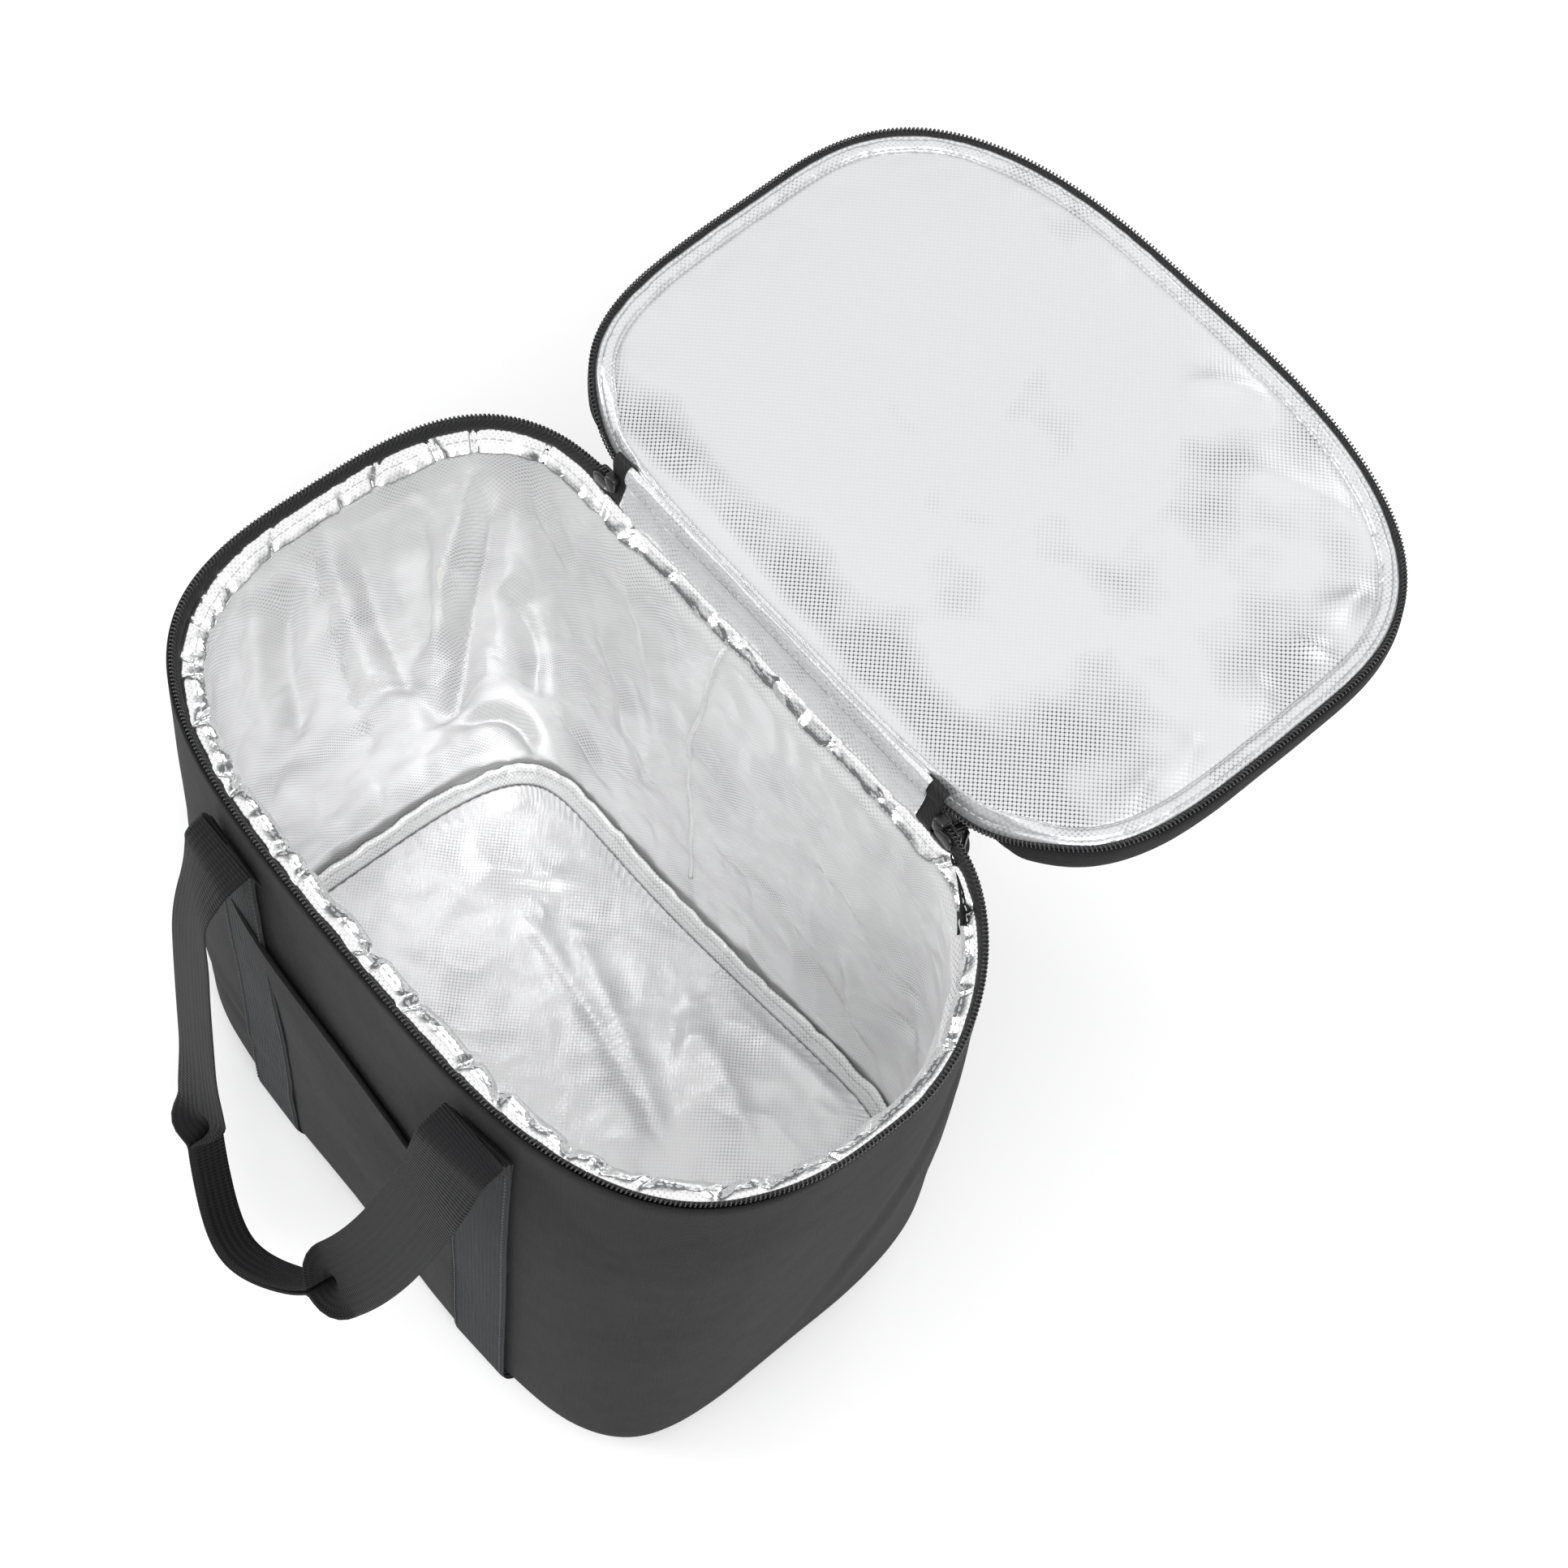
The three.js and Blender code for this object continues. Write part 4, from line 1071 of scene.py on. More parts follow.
# footTurn: how far round the bottom's edge the webbing and the pocket run, in degrees
webbing = {"width": 38.0, "thick": 1.5, "centre": 85.0, "shift": 9.5, "across": 18, "top": 311.0,
           "gapFront": 2.6, "gapRear": 1.3, "footTurn": 48, "rowIn": 2.6, "rows": 110}
pocket = {"halfWidth": 101.0, "cloth": 0.9, "gap": 1.4, "slack": 5.0, "rows": 46, "columns": 96,
          "footTurn": 52,
          # how high its mouth is, from left to right: it slants down to the right
          "mouthX": (-60, -20, 45, 80, 115), "mouthClimb": (224, 209, 181, 167, 160),
          # the fold of its hem: from which row, and how far back and up
          "fold": [(-1, -0.4, 1.0), (-1, 0.5, 1.1), (-1, 1.3, 0.2), (-2, 1.3, 0.0), (-5, 1.0, 0.0)]}


def buildPocket():
    reach = np.linspace(-1, 1, pocket["columns"])
    x = webbing["shift"] + reach * pocket["halfWidth"]
    rows = []
    foot = -bag["edgeRadius"] * math.radians(pocket["footTurn"])
    top = np.interp(x, pocket["mouthX"], pocket["mouthClimb"])
    top = np.convolve(np.pad(top, 8, mode="edge"), np.ones(17) / 17, "valid")
    for share in np.linspace(0, 1, pocket["rows"]):
        # the mouth hangs open a little, more towards the left
        slack = pocket["slack"] * share ** 5 * (1 - reach ** 4) * (0.55 - 0.45 * reach)
        dip = 2.0 * share ** 3 * (1 - reach ** 2)
        points, _ = facePoint(-1, x, mix(foot, top, share) - dip, pocket["gap"] + slack)
        rows.append(points)
    rows = np.array(rows)
    rows[..., 1] -= 0.5 * wrinkle(rows, (50, 50, 60), 4.0, 2)
    # a folded hem along the mouth
    fold = [rows[row] + [0, y, z] for row, y, z in pocket["fold"]]
    obj = gridMesh("front_pocket_panel", np.concatenate([rows, fold]), pocketFinish)
    obj = thicken(obj, pocket["cloth"], 0)
    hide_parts("front_pocket")
    return obj


def bandSection(middle, off):
    # a closed section of webbing, out over its upper side and back along its lower one
    return np.concatenate([middle + off, (middle - off)[::-1][1:-1]])


def buildStrap(name, node, side, hand):
    x0 = webbing["shift"] + hand * webbing["centre"]
    radius = bag["edgeRadius"]
    foot = -radius * math.radians(webbing["footTurn"])
    climbs = np.linspace(foot, webbing["top"] - radius, webbing["rows"])
    gap = webbing["gapFront"] if side < 0 else webbing["gapRear"]
    middle, normal = facePoint(side, x0, climbs, gap)
    left, _ = facePoint(side, x0 - webbing["width"] / 2, climbs, gap)
    right, _ = facePoint(side, x0 + webbing["width"] / 2, climbs, gap)
    slope = unit(right - left)
    # flat, with rounded selvages
    share = np.linspace(-1, 1, webbing["across"])
    selvage = np.sqrt(np.clip(1 - np.abs(share) ** 14, 0, 1)) * 0.5
    sections = []
    for centre, way, out in zip(middle, slope, normal):
        sections.append(bandSection(centre + way * (share * webbing["width"] / 2)[:, None],
                                    out * (selvage * webbing["thick"])[:, None]))
    obj = gridMesh(name, sections, strapFinish, loopU=True, caps=True)
    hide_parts(node)
    rows = []
    for edge in (-1, 1):
        inner = webbing["width"] / 2 - webbing["rowIn"]
        path = middle[8:] + slope[8:] * edge * inner + normal[8:] * webbing["thick"] / 2
        rows.append(threadRun(name + "_row" + str(edge), path, normal[8:], darkThread, **darkStitch))
    stitches = joined(name + "_stitches", rows)
    return [obj, stitches]


handle = {
    # shares of the strap spacing, the reach and the drop, from the hinge line down to the middle of the grip
    "half": [(1, 0.05, 0.045), (1.02, 0.15, 0.11), (0.95, 0.28, 0.28), (0.85, 0.41, 0.49),
             (0.7, 0.57, 0.71), (0.49, 0.76, 0.9), (0, 1, 1)],
    "reach": 74.0, "drop": 199.0, "grip": 112.0, "foldLength": 18.0, "stations": 200, "foldRadius": 0.85,
    "pivotZ": 316.5, "pivotFront": -134.12, "pivotRear": 128.47, "widestRear": 0.97, "across": 34,
    # the fold over the top of each strap: its radius, how far out it stands, its foot and where it turns
    "turnRadius": 1.7, "turnOff": 4.1, "turnFoot": 297.0, "turnZ": 313.2,
    # the left leg is twisted, its right edge outward: height and angle
    "twistAt": (160, 185, 262, 292, 312), "twist": (0, -10, -11, -22, 0),
}


def handleFold(wallY, side, first, second):
    # from behind the leg up, over and out to the leg's first point, in y and z
    radius, out = handle["turnRadius"], handle["turnOff"]
    points = [(wallY + side * out, z) for z in np.linspace(handle["turnFoot"], handle["turnZ"], 9)]
    for degrees in range(12, 109, 12):
        turn = math.radians(degrees)
        y = wallY + side * (out + radius * (1 - math.cos(turn)))
        points.append((y, handle["turnZ"] + radius * math.sin(turn)))
    start, end = np.array(points[-1]), np.array(first[1:])
    reach = np.linalg.norm(end - start)
    # it leaves the fold at 108 degrees and comes in along the leg
    leave = np.array([side * 0.951, -0.309]) * reach
    arrive = unit(np.array(second[1:]) - end) * reach
    for t in np.linspace(0, 1, 9)[1:-1]:
        points.append(tuple((2 * t ** 3 - 3 * t ** 2 + 1) * start + (t ** 3 - 2 * t ** 2 + t) * leave
                            + (3 * t ** 2 - 2 * t ** 3) * end + (t ** 3 - t ** 2) * arrive))
    return points


def handleLine(side):
    # the loop's centre line from behind one strap's top round the grip to behind the other's, and how the
    # two straps slope in plan
    pivotY = handle["pivotFront"] if side < 0 else handle["pivotRear"]
    middleX, pivotZ = webbing["shift"], handle["pivotZ"]
    # the rear loop keeps clear of the zip pull beside it
    widest = 2.0 if side < 0 else handle["widestRear"]
    right = []
    for apart, out, down in handle["half"]:
        right.append((min(apart, widest) * webbing["centre"], pivotY + side * out * handle["reach"],
                      pivotZ - down * handle["drop"]))
    left = [(-x, y, z) for x, y, z in reversed(right[:-1])]
    main = softLine(right + left, handle["stations"] * 2)
    run = runLengths(main, False)
    main = readAlong(main, run, np.linspace(0, run[-1], handle["stations"]))
    main[:, 0] += middleX
    ends, slopes = [], []
    for hand in (1, -1):
        x0 = middleX + hand * webbing["centre"]
        wallY = float(faceY(side, np.array(x0), np.array(305.0)))
        first, second = (main[0], main[2]) if hand > 0 else (main[-1], main[-3])
        ends.append([(x0, y, z) for y, z in handleFold(wallY, side, first, second)])
        edges = [facePoint(side, x0 + k * webbing["width"] / 2, 286.0, 0.0)[0] for k in (-1, 1)]
        slopes.append(unit(edges[1] - edges[0]))
    return np.vstack([ends[0], main, ends[1][::-1]]), slopes


def handleFrame(line, slopes, side):
    # the ways across and through the webbing along its line, and how far it is folded in two
    run = runLengths(line, False)
    tangent = unit(np.gradient(line, run, axis=0))
    # the webbing's face looks out of the loop's plane; over the fold it turns with the line
    face = np.array([0, side * handle["drop"], handle["reach"]]) / math.hypot(handle["drop"], handle["reach"])
    fromMiddle = np.abs(run - run[-1] / 2)
    isFold = smooth(run[-1] / 2 - 62, run[-1] / 2 - 30, fromMiddle)[:, None]
    plainAcross = np.cross(tangent, face)
    foldAcross = np.where(line[:, :1] > webbing["shift"], slopes[0], slopes[1])
    foldAcross *= np.sign(np.sum(foldAcross * plainAcross, 1, keepdims=True) + 1e-9)
    across = mix(plainAcross, foldAcross, isFold)
    across = unit(across - tangent * np.sum(across * tangent, 1, keepdims=True))
    if side < 0:
        turn = np.interp(line[:, 2], handle["twistAt"], handle["twist"]) * (run > run[-1] / 2)
        turn = np.radians(np.convolve(np.pad(turn, 4, mode="edge"), np.ones(9) / 9, "valid"))[:, None]
        across = across * np.cos(turn) + np.cross(tangent, across) * np.sin(turn)
    folded = 1 - smooth(handle["grip"] / 2, handle["grip"] / 2 + handle["foldLength"], fromMiddle)
    return across, np.cross(across, tangent), folded


def bentOver(s, folded):
    # how the webbing bends over its middle: where its points s come to lie across and through, and their turn
    fine = np.linspace(-webbing["width"] / 2, webbing["width"] / 2, 401)
    step = fine[1] - fine[0]
    angle = folded * math.pi / 2 * fine / np.sqrt(fine ** 2 + handle["foldRadius"] ** 2)
    bent = []
    for wave in (np.cos(angle), np.sin(angle)):
        summed = np.concatenate([[0], np.cumsum((wave[1:] + wave[:-1]) / 2 * step)])
        bent.append(summed - summed[200])
    # the folded band stays about the line
    bent[1] -= folded * webbing["width"] / 4
    return [np.interp(s, fine, values)[:, None] for values in (*bent, angle)]


def buildHandle(name, node, side):
    line, slopes = handleLine(side)
    across, through, folded = handleFrame(line, slopes, side)
    half = webbing["width"] / 2
    s = np.linspace(-1, 1, handle["across"]) * half
    selvage = np.sqrt(np.clip(1 - np.abs(s / half) ** 16, 0, 1))[:, None]
    rows = []
    for k, centre in enumerate(line):
        a, b, turn = bentOver(s, folded[k])
        normal = -across[k] * np.sin(turn) + through[k] * np.cos(turn)
        off = normal * selvage * webbing["thick"] / 2
        rows.append(bandSection(centre + across[k] * a + through[k] * b, off))
    obj = gridMesh(name, rows, handleFinish, loopU=True, caps=True)
    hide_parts(node)
    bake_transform(obj)
    return obj


bodyPieces.append(buildPocket())
straps = []
for side, place in ((-1, "front"), (1, "rear")):
    for hand, name in ((-1, "left"), (1, "right")):
        straps += buildStrap(place + "_strap_webbing_" + name, place + "_strap_" + name, side, hand)
buildHandle("front_handle_webbing", "front_handle", -1)
buildHandle("rear_handle_webbing", "rear_handle", 1)
print("pocket, straps and handles made")


# lid

lid = {
    "tilt": math.radians(5.1), "y": 126.6, "z": 350.0, "depth": 22.0, "edge": 8.0, "crown": 2.5,
    "section": {"x": -4.8, "y": 145.0, "left": 180.0, "right": 190.7, "front": 157.7, "back": 112.0,
                "frontLeft": 4.39, "frontRight": 4.5, "backLeft": 2.7, "backRight": 2.79,
                "straightLeft": 8.0, "straightRight": 8.0},
    "borderStart": 3.2, "borderWidth": 9.6, "borderAtHinge": 4.4, "zipLeft": -112.0, "zipRight": 107.0,
    "rightAt": (4.0, 5.0), "leftAt": (3.0, 4.0),
    # along the hinge the lid's depth is less by this share, and its outer cloth is set in by this more
    "shallow": 0.3, "backInset": 13,
    # the band's cloth from its turned-in top to where its lower edge is rounded: inset and height
    "band": [(1.9, -5.0), (1.9, -1.6), (0.9, -1.1), (0.1, -2.0), (-0.3, -5.0), (-0.5, -9.0)],
}
lidQ, _ = evenlyRound(lid["section"], columns)


def lidPlace(x, d, h):
    cos, sin = math.cos(lid["tilt"]), math.sin(lid["tilt"])
    return np.stack([x, lid["y"] + d * cos - h * sin, lid["z"] + d * sin + h * cos], -1)


lidUp = np.array([0, -math.sin(lid["tilt"]), math.cos(lid["tilt"])])


def hingeNear(q):
    # 1 along the hinge, 0 on the rest of the rim
    x, d, _, _ = outlineAt(lid["section"], q)
    return smooth(60, 15, d) * smooth(150, 118, np.abs(x))


def lidRing(h, inset, q, shrink=1.0):
    x, d, nx, nd = outlineAt(lid["section"], q)
    x, d = x - nx * inset, d - nd * inset
    centre = (lid["section"]["x"], lid["section"]["y"])
    x, d = centre[0] + (x - centre[0]) * shrink, centre[1] + (d - centre[1]) * shrink
    return lidPlace(x, d, np.broadcast_to(np.asarray(h, float), x.shape))


def lidOut(q):
    _, _, nx, nd = outlineAt(lid["section"], q)
    return lidPlace(nx, nd, 0 * nx) - lidPlace(0 * nx, 0 * nd, 0 * nx)


def rimDrop(q):
    # beside the hinge the rim runs down to the zip's ends
    x, d, _, _ = outlineAt(lid["section"], q)
    return 15.0 * smooth(42, 0, d) * smooth(168, 122, np.abs(x + 3)) * smooth(95, 112, np.abs(x + 3))


def buildLidShell():
    near = hingeNear(lidQ)
    drop = rimDrop(lidQ)
    deep = lid["depth"]
    shallow = 1 - lid["shallow"] * near
    profile = lid["band"] + [(-0.2, -deep + lid["edge"])]
    for k in range(1, 9):
        turn = math.radians(90 * k / 8)
        profile.append((lid["edge"] * (1 - math.cos(turn)), -deep + lid["edge"] * (1 - math.sin(turn))))
    rows = []
    for inset, h in profile:
        # along the hinge the band is shallow, lies under the border and slopes back under the lid
        back = near * (6.0 + smooth(0, -deep, h) * 7.0)
        height = h * shallow - drop * smooth(-deep, -deep * 0.3, h) - 3.0 * near * smooth(-8, -2, h)
        point = lidRing(height, inset + back, lidQ)
        sway = 0.5 * wrinkle(point, 45, 2.0, 2)
        rows.append(lidRing(height, inset + back - sway, lidQ))
    rows += [lidRing(-deep * shallow + bag["cloth"], 8.0 + near * lid["backInset"], lidQ),
             lidRing((-deep + 8) * shallow, 2.4 + near * 9, lidQ)]
    band = gridMesh("lid_band_cloth", rows, outerFinish, loopU=True, loopV=True)
    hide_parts("lid_band")
    rows, upper = [], []
    inset = 7.4 + lid["backInset"] * near
    for s in np.linspace(1, 0.002, 42):
        point = lidRing(0.0, inset, lidQ, s)
        crown = lid["crown"] * (1 - s ** 3) + 0.7 * wrinkle(point, 80, 5.5, 2) * (1 - s ** 8)
        height = -deep * (1 - lid["shallow"] * near * smooth(0.6, 1, s)) - crown + 0.6 * smooth(0.985, 1, s)
        rows.append(lidRing(height, inset, lidQ, s))
    for s in (0.002, 0.5, 0.9, 1.0):
        height = -deep * (1 - lid["shallow"] * near * smooth(0.6, 1, s)) + bag["cloth"]
        upper.append(lidRing(height, inset, lidQ, s))
    panel = gridMesh("lid_panel_cloth", rows + upper, outerFinish, loopU=True, loopV=True, flatUv=True)
    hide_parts("lid_panel")
    coarseQ, _ = evenlyRound(lid["section"], 120)
    near = hingeNear(coarseQ)
    rows = []
    top = -deep + 2.2
    deeper = lid["backInset"]
    # height, inset, how much more inset at the hinge, and size
    for h, inset, back, s in [(top, 12, deeper, 0.05), (top, 12, deeper, 1), (-10.0, 6.0, deeper, 1),
                              (-3.6, 14.0, 3, 1), (-3.2, 14.0, 3, 0.05)]:
        rows.append(lidRing(h * (1 - lid["shallow"] * near), inset + near * back, coarseQ, s))
    foam = gridMesh("lid_foam_pad", rows, foamFinish, loopU=True, caps=True)
    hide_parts("lid_foam")
    return [band, panel, foam]


def buildLidZip():
    section = lid["section"]
    startQ = nearestQ(section, *lid["rightAt"], lid["zipRight"])
    endQ = nearestQ(section, *lid["leftAt"], lid["zipLeft"]) + 5
    q, _ = zipRun(section, startQ, endQ, mouth["zipPoints"])
    drop = rimDrop(q)
    out = lidOut(q)
    up = np.broadcast_to(lidUp, out.shape)
    wander = 0.3 * wrinkle(lidRing(0, 0, q), 35, 9.0)
    path = lidRing(0.2 - drop + wander, 1.6, q)
    head = up * 0.9 + out * 0.44
    flat = out * 0.9 - up * 0.44
    coilObj = coilMesh("lid_coil", path, head, flat)
    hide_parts("lid_zip_coil")
    core = [path + up * 0.4, path - up * 0.7 - out * 1.2, path - up * 1.6 - out * 2.4,
            path - up * 4.5 - out * 3.4]
    tape = thicken(gridMesh("lid_tape", core, tapeFinish), mouth["tape"], 0)
    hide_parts("lid_zip_tape")
    return [coilObj, tape]


facing = {"rows": 70, "h": -2.2, "cloth": 0.6}
# soft folds of the lid's facing, each along a line in x and the distance from the hinge
lidFolds = [
    {"line": [(148, 172), (158, 198), (170, 214)], "rise": 5.0, "sides": (10, 7)},
    {"line": [(150, 158), (166, 166), (178, 168)], "rise": 3.5, "sides": (5, 5)},
    {"line": [(172, 36), (164, 50), (156, 70)], "rise": 3.5, "sides": (5, 7)},
    {"line": [(174, 66), (166, 80), (154, 96)], "rise": 3.0, "sides": (6, 8)},
    {"line": [(176, 120), (166, 128), (150, 134)], "rise": 2.5, "sides": (6, 9)},
    {"line": [(60, 200), (100, 216), (140, 232)], "rise": 2.6, "sides": (9, 12)},
    {"line": [(24, 214), (36, 228), (54, 240)], "rise": 3.0, "sides": (8, 8)},
    {"line": [(-120, 12), (-82, 18), (-36, 14)], "rise": 2.0, "sides": (7, 9)},
]

# beside the hinge the border is narrow
borderWidth = mix(lid["borderWidth"], lid["borderAtHinge"], hingeNear(lidQ))


def facingHeight(points, s):
    # the foil facing lies flat with a slight pillow, and small puckers beside its border
    x, y = points[..., 0], points[..., 1]
    h = facing["h"] + 1.6 * (1 - s ** 4)
    h = h + 0.8 * wrinkle(points, 120, 7.0, 1) * (1 - s ** 12)
    h += 0.5 * wrinkle(points, 22, 1.0, 2) * smooth(0.8, 0.97, s)
    fold = sum(foldRise(x, (y - lid["y"]) / math.cos(lid["tilt"]), one) for one in lidFolds)
    return h + fold * smooth(1.0, 0.93, s)


def buildFacing():
    start = lid["borderStart"] + borderWidth - 1.2
    rows = []
    for s in np.linspace(1, 0.01, facing["rows"]):
        point = lidRing(0.0, start, lidQ, s)
        rows.append(lidRing(facingHeight(point, s), start, lidQ, s))
    obj = gridMesh("lid_facing_foil", rows, lidFinish, loopU=True, flatUv=True, centre=True)
    obj = thicken(obj, facing["cloth"], -1)
    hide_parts("lid_facing")
    return obj


# where the border's two sewn rows run, as shares of its width, and how deep each draws it in
borderGrooves = {0.3: 0.9, 0.88: 0.5}


def borderLine(across):
    # one line round the border; across is 0 at its outer edge and 1 beside the facing
    inset = lid["borderStart"] + across * borderWidth
    point = lidRing(0.0, inset, lidQ)
    crinkle = 0.55 * wrinkle(point, 7, 4.0, 2) + 0.5 * crease(point, 14, 6.0, 1)
    crinkle = crinkle * (1 - 0.75 * hingeNear(lidQ))
    edge = math.sin(math.pi * np.clip(across, 0, 1)) ** 0.5
    groove = sum(deep * math.exp(-((across - at) / 0.06) ** 2) for at, deep in borderGrooves.items())
    height = -1.9 + (1.9 + crinkle) * edge - groove
    return lidRing(height - rimDrop(lidQ) * (1 - across) ** 1.5, inset, lidQ)


def buildBorder():
    rows = [borderLine(across) for across in np.linspace(0, 1, 20)]
    start = lid["borderStart"]
    rows += [lidRing(-3.4, start + borderWidth - 0.4, lidQ), lidRing(-3.4 - rimDrop(lidQ), start + 0.4, lidQ)]
    obj = gridMesh("lid_border_foil", rows, borderFinish, loopU=True, loopV=True)
    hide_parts("lid_border")
    threads = []
    for across in borderGrooves:
        path = closedLoop(borderLine(across))
        up = np.broadcast_to(lidUp, path.shape)
        threads.append(threadRun("border_row", path, up, paleThread, **paleStitch))
    stitches = joined("lid_border_stitches", threads)
    return [obj, stitches]


lidPieces = buildLidShell() + buildLidZip() + [buildFacing()] + buildBorder()
print("lid made")


# hinge: foil cover inside, cloth strip outside, each in two halves that meet at the fold

hinge = {
    "left": -104.0, "right": 100.0,
    # y and z of the foil cover, from the hem up to the fold, and on to the lid's border
    "lower": [(110.6, 320.6), (113.2, 325.2), (115.2, 330.0), (116.2, 334.0), (116.7, 337.5), (116.8, 340.4)],
    "upper": [(116.1, 338.2), (115.7, 341.5), (116.0, 345.0), (116.6, 347.2), (117.8, 348.3), (119.4, 348.0)],
    "lowerStrip": [(119.8, 318.0), (120.8, 326.0), (122.8, 333.0), (125.0, 339.9)],
    # runs on inside the lid, and closes the back once the lid is shut
    "upperStrip": [(125.0, 340.1), (126.3, 338.6), (128.5, 337.2), (132.0, 336.2), (137.0, 334.9),
                   (143.0, 332.8)],
    "stripEnds": (-110.0, 105.0),
    # the tape's bare ends, from under the cover to the zip
    "tapeLeft": (-114.0, -101.0), "tapeRight": (97.0, 109.5),
    "rows": 26, "step": 1.2,
}


def hingeSheet(name, profile, material, thickness, liveliness, replaced,
               stitchAt=(), ends=(hinge["left"], hinge["right"]), back=0.0):
    line = softLine(profile, hinge["rows"])
    x = np.linspace(*ends, int((ends[1] - ends[0]) / hinge["step"]))
    rows = []
    for k, (y, z) in enumerate(line):
        share = k / (len(line) - 1)
        base = np.stack([x, y + back + 0 * x, z + 0 * x], -1)
        fine, coarse = wrinkle(base, (9, 9, 5), 2.5, 2), wrinkle(base, (40, 20, 12), 5.0, 1)
        sway = liveliness * (0.8 * fine + 0.8 * coarse)
        loose = math.sin(math.pi * share) ** 0.5
        # short slanting gathers where the cover is sewn to the lid
        gathers = 0.34 * np.sin((x + 1.6 * z) / 2.5 * 2 * math.pi) * bump(z, 338, 5.5) * liveliness
        rows.append(base + np.stack([0 * x, sway * loose - gathers, 0.5 * sway * loose], -1))
    rows = np.array(rows)
    obj = thicken(gridMesh(name, rows, material), thickness, 0)
    pieces = [obj]
    if replaced:
        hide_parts(*replaced)
    for number, share in enumerate(stitchAt):
        path = rows[int(share * (len(rows) - 1))] + [0, -thickness / 2, 0.2]
        up = np.zeros_like(path) + [0, -0.85, 0.5]
        thread = threadRun(name + "_stitches" + str(number), path, up, paleThread, **paleStitch)
        pieces.append(thread)
    return pieces


lowerHinge = hingeSheet("hinge_facing_lower", hinge["lower"], hingeFinish, 0.8, 0.5, ["hinge_facing"],
                        stitchAt=[0.5])
upperHinge = hingeSheet("hinge_facing_upper", hinge["upper"], hingeFinish, 0.8, 0.6, [],
                        stitchAt=[0.22, 0.62])
lowerStrip = hingeSheet("hinge_cloth_lower", hinge["lowerStrip"], outerFinish, 1.2, 0.15, ["hinge_strip"],
                        ends=hinge["stripEnds"])
upperStrip = hingeSheet("hinge_cloth_upper", hinge["upperStrip"], outerFinish, 1.2, 0.15, [],
                        ends=hinge["stripEnds"])
bodyPieces += lowerHinge + lowerStrip
lidPieces += upperHinge
for hand in ("Left", "Right"):
    for part, half, pieces in (("body", "lower", bodyPieces), ("lid", "upper", lidPieces)):
        pieces += hingeSheet(part + "_tape_end" + hand, hinge[half], tapeFinish, 0.8, 0.1, [],
                             ends=hinge["tape" + hand], back=1.0)

# shut, the mouth draws in to the lid's length and the lid to the mouth's width
closing = {"bodyKeep": 0.924, "bodyX": 0.002, "lidKeep": 0.912, "lidY": 0.2877}
# the gusset at each end of the zip, down in the wall while the lid hangs open
gusset = {"from": 88.0, "to": 164.0, "fromY": 40.0, "inset": 1.6, "low": 278.0, "high": 324.0, "rows": 14,
          "anchorZ": 377.5, "keep": 0.5}


def buildGusset(name, hand):
    around = ring(bag["zipHeight"], gusset["inset"], roundQ)
    reach = hand * around[:, 0]
    path = around[(reach > gusset["from"]) & (reach < gusset["to"]) & (around[:, 1] > gusset["fromY"])]
    # it stands where the shut mouth will be
    middle = closing["bodyX"] / mm
    path[:, 0] = middle + closing["bodyKeep"] * (path[:, 0] - middle)
    rows = [path * [1, 1, 0] + [0, 0, z] for z in np.linspace(gusset["low"], gusset["high"], gusset["rows"])]
    obj = thicken(gridMesh(name, rows, outerFinish), 0.8, 0)
    return obj


gussets = [buildGusset("zip_gusset_right", 1), buildGusset("zip_gusset_left", -1)]
print("hinge made")


# zip sliders and pulls

slider = {"length": 12.0, "height": 8.4, "z": 328.2, "plate": 1.9, "gap": 3.0, "bevel": 0.85,
          "pivot": (117.711, 124.906, 325.64), "axis": (0.969059, -0.246829),
          # the neck's ends in x and z, and how round it is
          "neckX": (-2.4, 4.6), "neckZ": (-2.0, 7.6), "neckBevel": 1.9,
          # the crown's two cheeks stand either side of the pull's bar
          "crownHalf": 1.5, "crownY": (-7.5, 2.4), "crownBack": 1.2, "cheek": (1.3, 2.5), "crownBevel": 0.45,
          "pullLength": 31.6, "pullWidth": 9.0, "pullThick": 1.4, "pullSide": 2.4, "pullTop": 0.8,
          "windowFoot": 9.5, "overlap": 1.0, "pullBevel": 0.5}


def shieldPlate(length, height, low, high):
    # outline of a slider's plate in its own x-z plane, as an extruded prism between low and high in y:
    # round at the nose, drawn in a little at its tail
    half = height / 2
    rim = []
    for degrees in range(0, 360, 18):
        cos, sin = math.cos(math.radians(degrees)), math.sin(math.radians(degrees))
        x = math.copysign(abs(cos) ** 0.75, cos) * length / 2
        z = math.copysign(abs(sin) ** 0.75, sin) * half * (1 - 0.22 * cos)
        rim.append((length / 2 - x, z))
    vertices = [(x, y, z) for y in (low, high) for x, z in rim]
    count = len(rim)
    faces = [tuple(range(count)), tuple(reversed(range(count, 2 * count)))]
    faces += [(k, count + k, count + (k + 1) % count, (k + 1) % count) for k in range(count)]
    return vertices, faces


def boxBetween(xs, ys, zs):
    vertices = [(x, y, z) for x in xs for y in ys for z in zs]
    faces = [(0, 1, 3, 2), (4, 6, 7, 5), (0, 4, 5, 1), (2, 3, 7, 6), (0, 2, 6, 4), (1, 5, 7, 3)]
    return vertices, faces


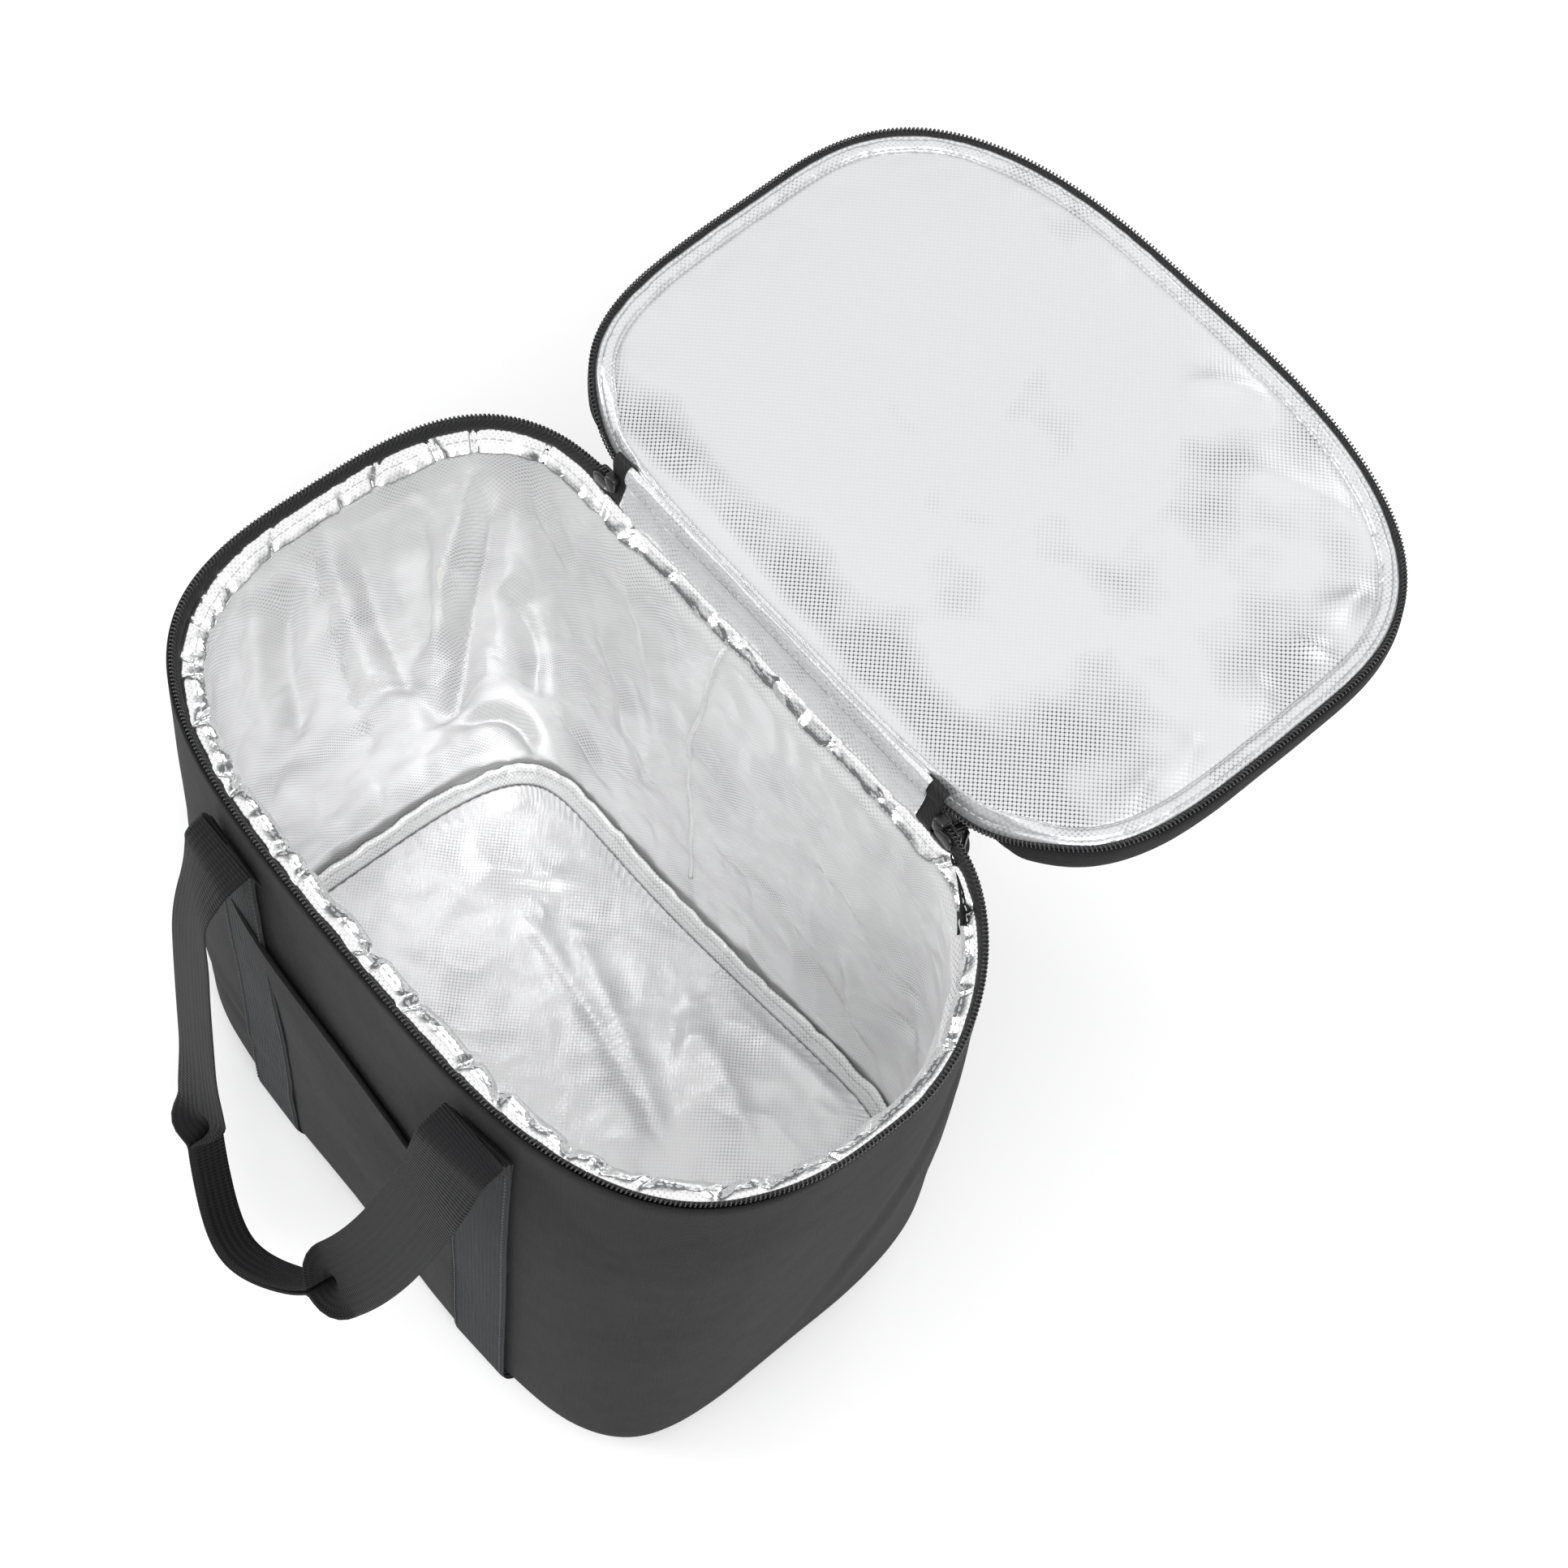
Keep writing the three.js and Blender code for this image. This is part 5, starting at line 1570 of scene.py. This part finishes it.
def metalPiece(name, shapes, matrix, bevel):
    parts = []
    for vertices, faces, *own in shapes:
        uvs = [(0.0, 0.0)] * sum(len(f) for f in faces)
        part = outward(makeMesh(name + "_part", vertices, faces, uvs, sliderFinish, False))
        edge = part.modifiers.new("bevel", "BEVEL")
        edge.width = (own[0] if own else bevel) * mm
        edge.segments = 4
        edge.limit_method = "ANGLE"
        parts.append(bakeModifiers(part))
    obj = joined(name, parts)
    obj.data.transform(matrix)
    obj.data.shade_smooth()
    return obj


def buildSlider(hand, name):
    x0 = mouth["zipRight"] if hand > 0 else mouth["zipLeft"]
    at = mouth["rightAt"] if hand > 0 else mouth["leftAt"]
    q = np.array([nearestQ(mouthSection, *at, x0 - hand * 1.0),
                  nearestQ(mouthSection, *at, x0 + hand * (slider["length"] - 1.0))])
    ends = ring(slider["z"], mouth["coilInset"], q)
    along = unit(ends[1] - ends[0])
    away = np.array([along[1], -along[0], 0.0])
    away *= math.copysign(1, away[1])
    matrix = Matrix([[along[k], away[k], float(k == 2), ends[0][k] * mm] for k in range(3)] + [[0, 0, 0, 1]])
    length, height, half = slider["length"], slider["height"], slider["gap"] / 2
    plate = slider["plate"]
    shapes = [shieldPlate(length, height, half, half + plate),
              shieldPlate(length, height, -half - plate, -half),
              # the neck that joins both plates, a rounded cap over the zip's end
              boxBetween(slider["neckX"], (-half - plate, half + plate), slider["neckZ"])
              + (slider["neckBevel"],)]
    body = metalPiece("zip_slider_plates_" + name, shapes, matrix, slider["bevel"])
    # the crown reaches out to the bar of the pull, which turns in it
    px, py, pz = slider["pivot"]
    ax, ay = slider["axis"]
    pivot = Matrix([[ax, -hand * ay, 0, hand * px * mm], [hand * ay, ax, 0, py * mm],
                    [0, 0, 1, pz * mm], [0, 0, 0, 1]])
    low, high = slider["cheek"]
    xs, ys = (-slider["crownHalf"], slider["crownHalf"]), slider["crownY"]
    crown = [boxBetween(xs, ys, (low, high)), boxBetween(xs, ys, (-high, -low)),
             boxBetween(xs, (slider["crownBack"], ys[1]), (-high, high))]
    crown = metalPiece("crown_" + name, crown, pivot, slider["crownBevel"])
    obj = joined("zip_slider_" + name, [body, crown])
    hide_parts("slider_" + name)
    # the pull hangs from the crown: a tab with a window
    wide, top, foot = slider["pullWidth"] / 2, slider["pullTop"], -slider["windowFoot"]
    xs, ys = (-wide, wide), (-slider["pullThick"] / 2, slider["pullThick"] / 2)
    sides = (foot - slider["overlap"], top)
    bars = [boxBetween(xs, ys, (-slider["pullLength"], foot)),
            boxBetween((-wide, -wide + slider["pullSide"]), ys, sides),
            boxBetween((wide - slider["pullSide"], wide), ys, sides),
            boxBetween(xs, ys, (-top, top))]
    pull = metalPiece("zip_pull_" + name, bars, pivot, slider["pullBevel"])
    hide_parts("pull_" + name)
    return obj, pull


sliderRight, pullRight = buildSlider(1, "right")
sliderLeft, pullLeft = buildSlider(-1, "left")
print("sliders made")


# what moves with what

for piece in bodyPieces + straps + [sliderRight, sliderLeft]:
    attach(piece, "body")
for piece in lidPieces + upperStrip:
    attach(piece, "lid")
for piece in gussets:
    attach(piece, "body")
    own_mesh(piece)
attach(pullRight, "pull_right")
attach(pullLeft, "pull_left")

for piece in bodyPieces + [sliderRight, sliderLeft]:
    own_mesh(piece)
for piece in lidPieces:
    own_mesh(piece)
print("pieces ride on their bodies")


# camera, light, floor

def addLight(name, place, aim, size, power):
    data = bpy.data.lights.new(name, "AREA")
    data.shape = "RECTANGLE"
    data.size, data.size_y = size
    data.energy = power
    obj = bpy.data.objects.new(name, data)
    obj.location = place
    obj.rotation_euler = (Vector(aim) - Vector(place)).to_track_quat("-Z", "Y").to_euler()
    bpy.context.scene.collection.objects.link(obj)
    return obj


bpy.context.scene.view_settings.view_transform = "Standard"
studio = {"ceiling": "#ffffff", "walls": "#6f7072", "strength": 0.95, "floor": "#fdfdfd",
          "floorReach": 6000, "floorZ": -0.5}


def buildStudio():
    # a bright ceiling over darker walls, so that the foil has something to reflect
    world = bpy.data.worlds.new("studio")
    bpy.context.scene.world = world
    world.use_nodes = True
    tree = world.node_tree
    back = tree.nodes["Background"]
    place = addNode(tree, "ShaderNodeTexCoord").outputs["Generated"]
    height = addNode(tree, "ShaderNodeSeparateXYZ", {"Vector": place}).outputs["Z"]
    sky = twoTones(tree, height, studio["walls"], studio["ceiling"], 0.25, 0.75)
    tree.links.new(sky, back.inputs["Color"])
    back.inputs["Strength"].default_value = studio["strength"]
    addLight("front_softbox", (-2.4, -1.8, 1.4), (-0.1, 0, 0.2), (1.6, 1.4), 42)
    addLight("key_softbox", (1.7, -0.9, 2.5), (0, 0.1, 0.1), (1.4, 1.4), 50)
    addLight("back_softbox", (-0.6, 2.8, 1.6), (0, 0.1, 0.2), (1.6, 1.2), 12)
    material, tree, place = startMaterial("paper_floor", {
        "Roughness": 0.9, "Base Color": linear(studio["floor"]), "Emission Color": (1, 1, 1, 1),
        "Emission Strength": 0.05}, "Generated")
    dress(material, normal=bumpFrom(tree, speckle(tree, place, 60.0), 0.05))
    far, low = studio["floorReach"], studio["floorZ"]
    floorObj = makeMesh("floor", [(-far, -far, low), (far, -far, low), (far, far, low), (-far, far, low)],
                        [(0, 1, 2, 3)], [(0, 0), (1, 0), (1, 1), (0, 1)], material)


view = {"azimuth": 0.7170, "elevation": 1.0736, "roll": 0.1635, "distance": 1353.59,
        "target": (-9.142, 148.799, 149.693), "lens": 60.92}


def buildCamera():
    az, el, roll = view["azimuth"], view["elevation"], view["roll"]
    back = Vector((math.sin(az) * math.cos(el), -math.cos(az) * math.cos(el), math.sin(el)))
    right = (-back).cross(Vector((0, 0, 1))).normalized()
    up = right.cross(-back)
    tiltedRight = right * math.cos(roll) + up * math.sin(roll)
    tiltedUp = up * math.cos(roll) - right * math.sin(roll)
    place = (Vector(view["target"]) + back * view["distance"]) * mm
    data = bpy.data.cameras.new("camera")
    data.lens, data.sensor_width, data.sensor_fit = view["lens"], 36.0, "AUTO"
    data.clip_start, data.clip_end = 0.05, 30
    camera = bpy.data.objects.new("camera", data)
    camera.matrix_world = Matrix((tiltedRight, tiltedUp, back)).transposed().to_4x4()
    camera.location = place
    bpy.context.scene.collection.objects.link(camera)
    bpy.context.scene.camera = camera


buildStudio()
buildCamera()
bpy.context.view_layer.update()
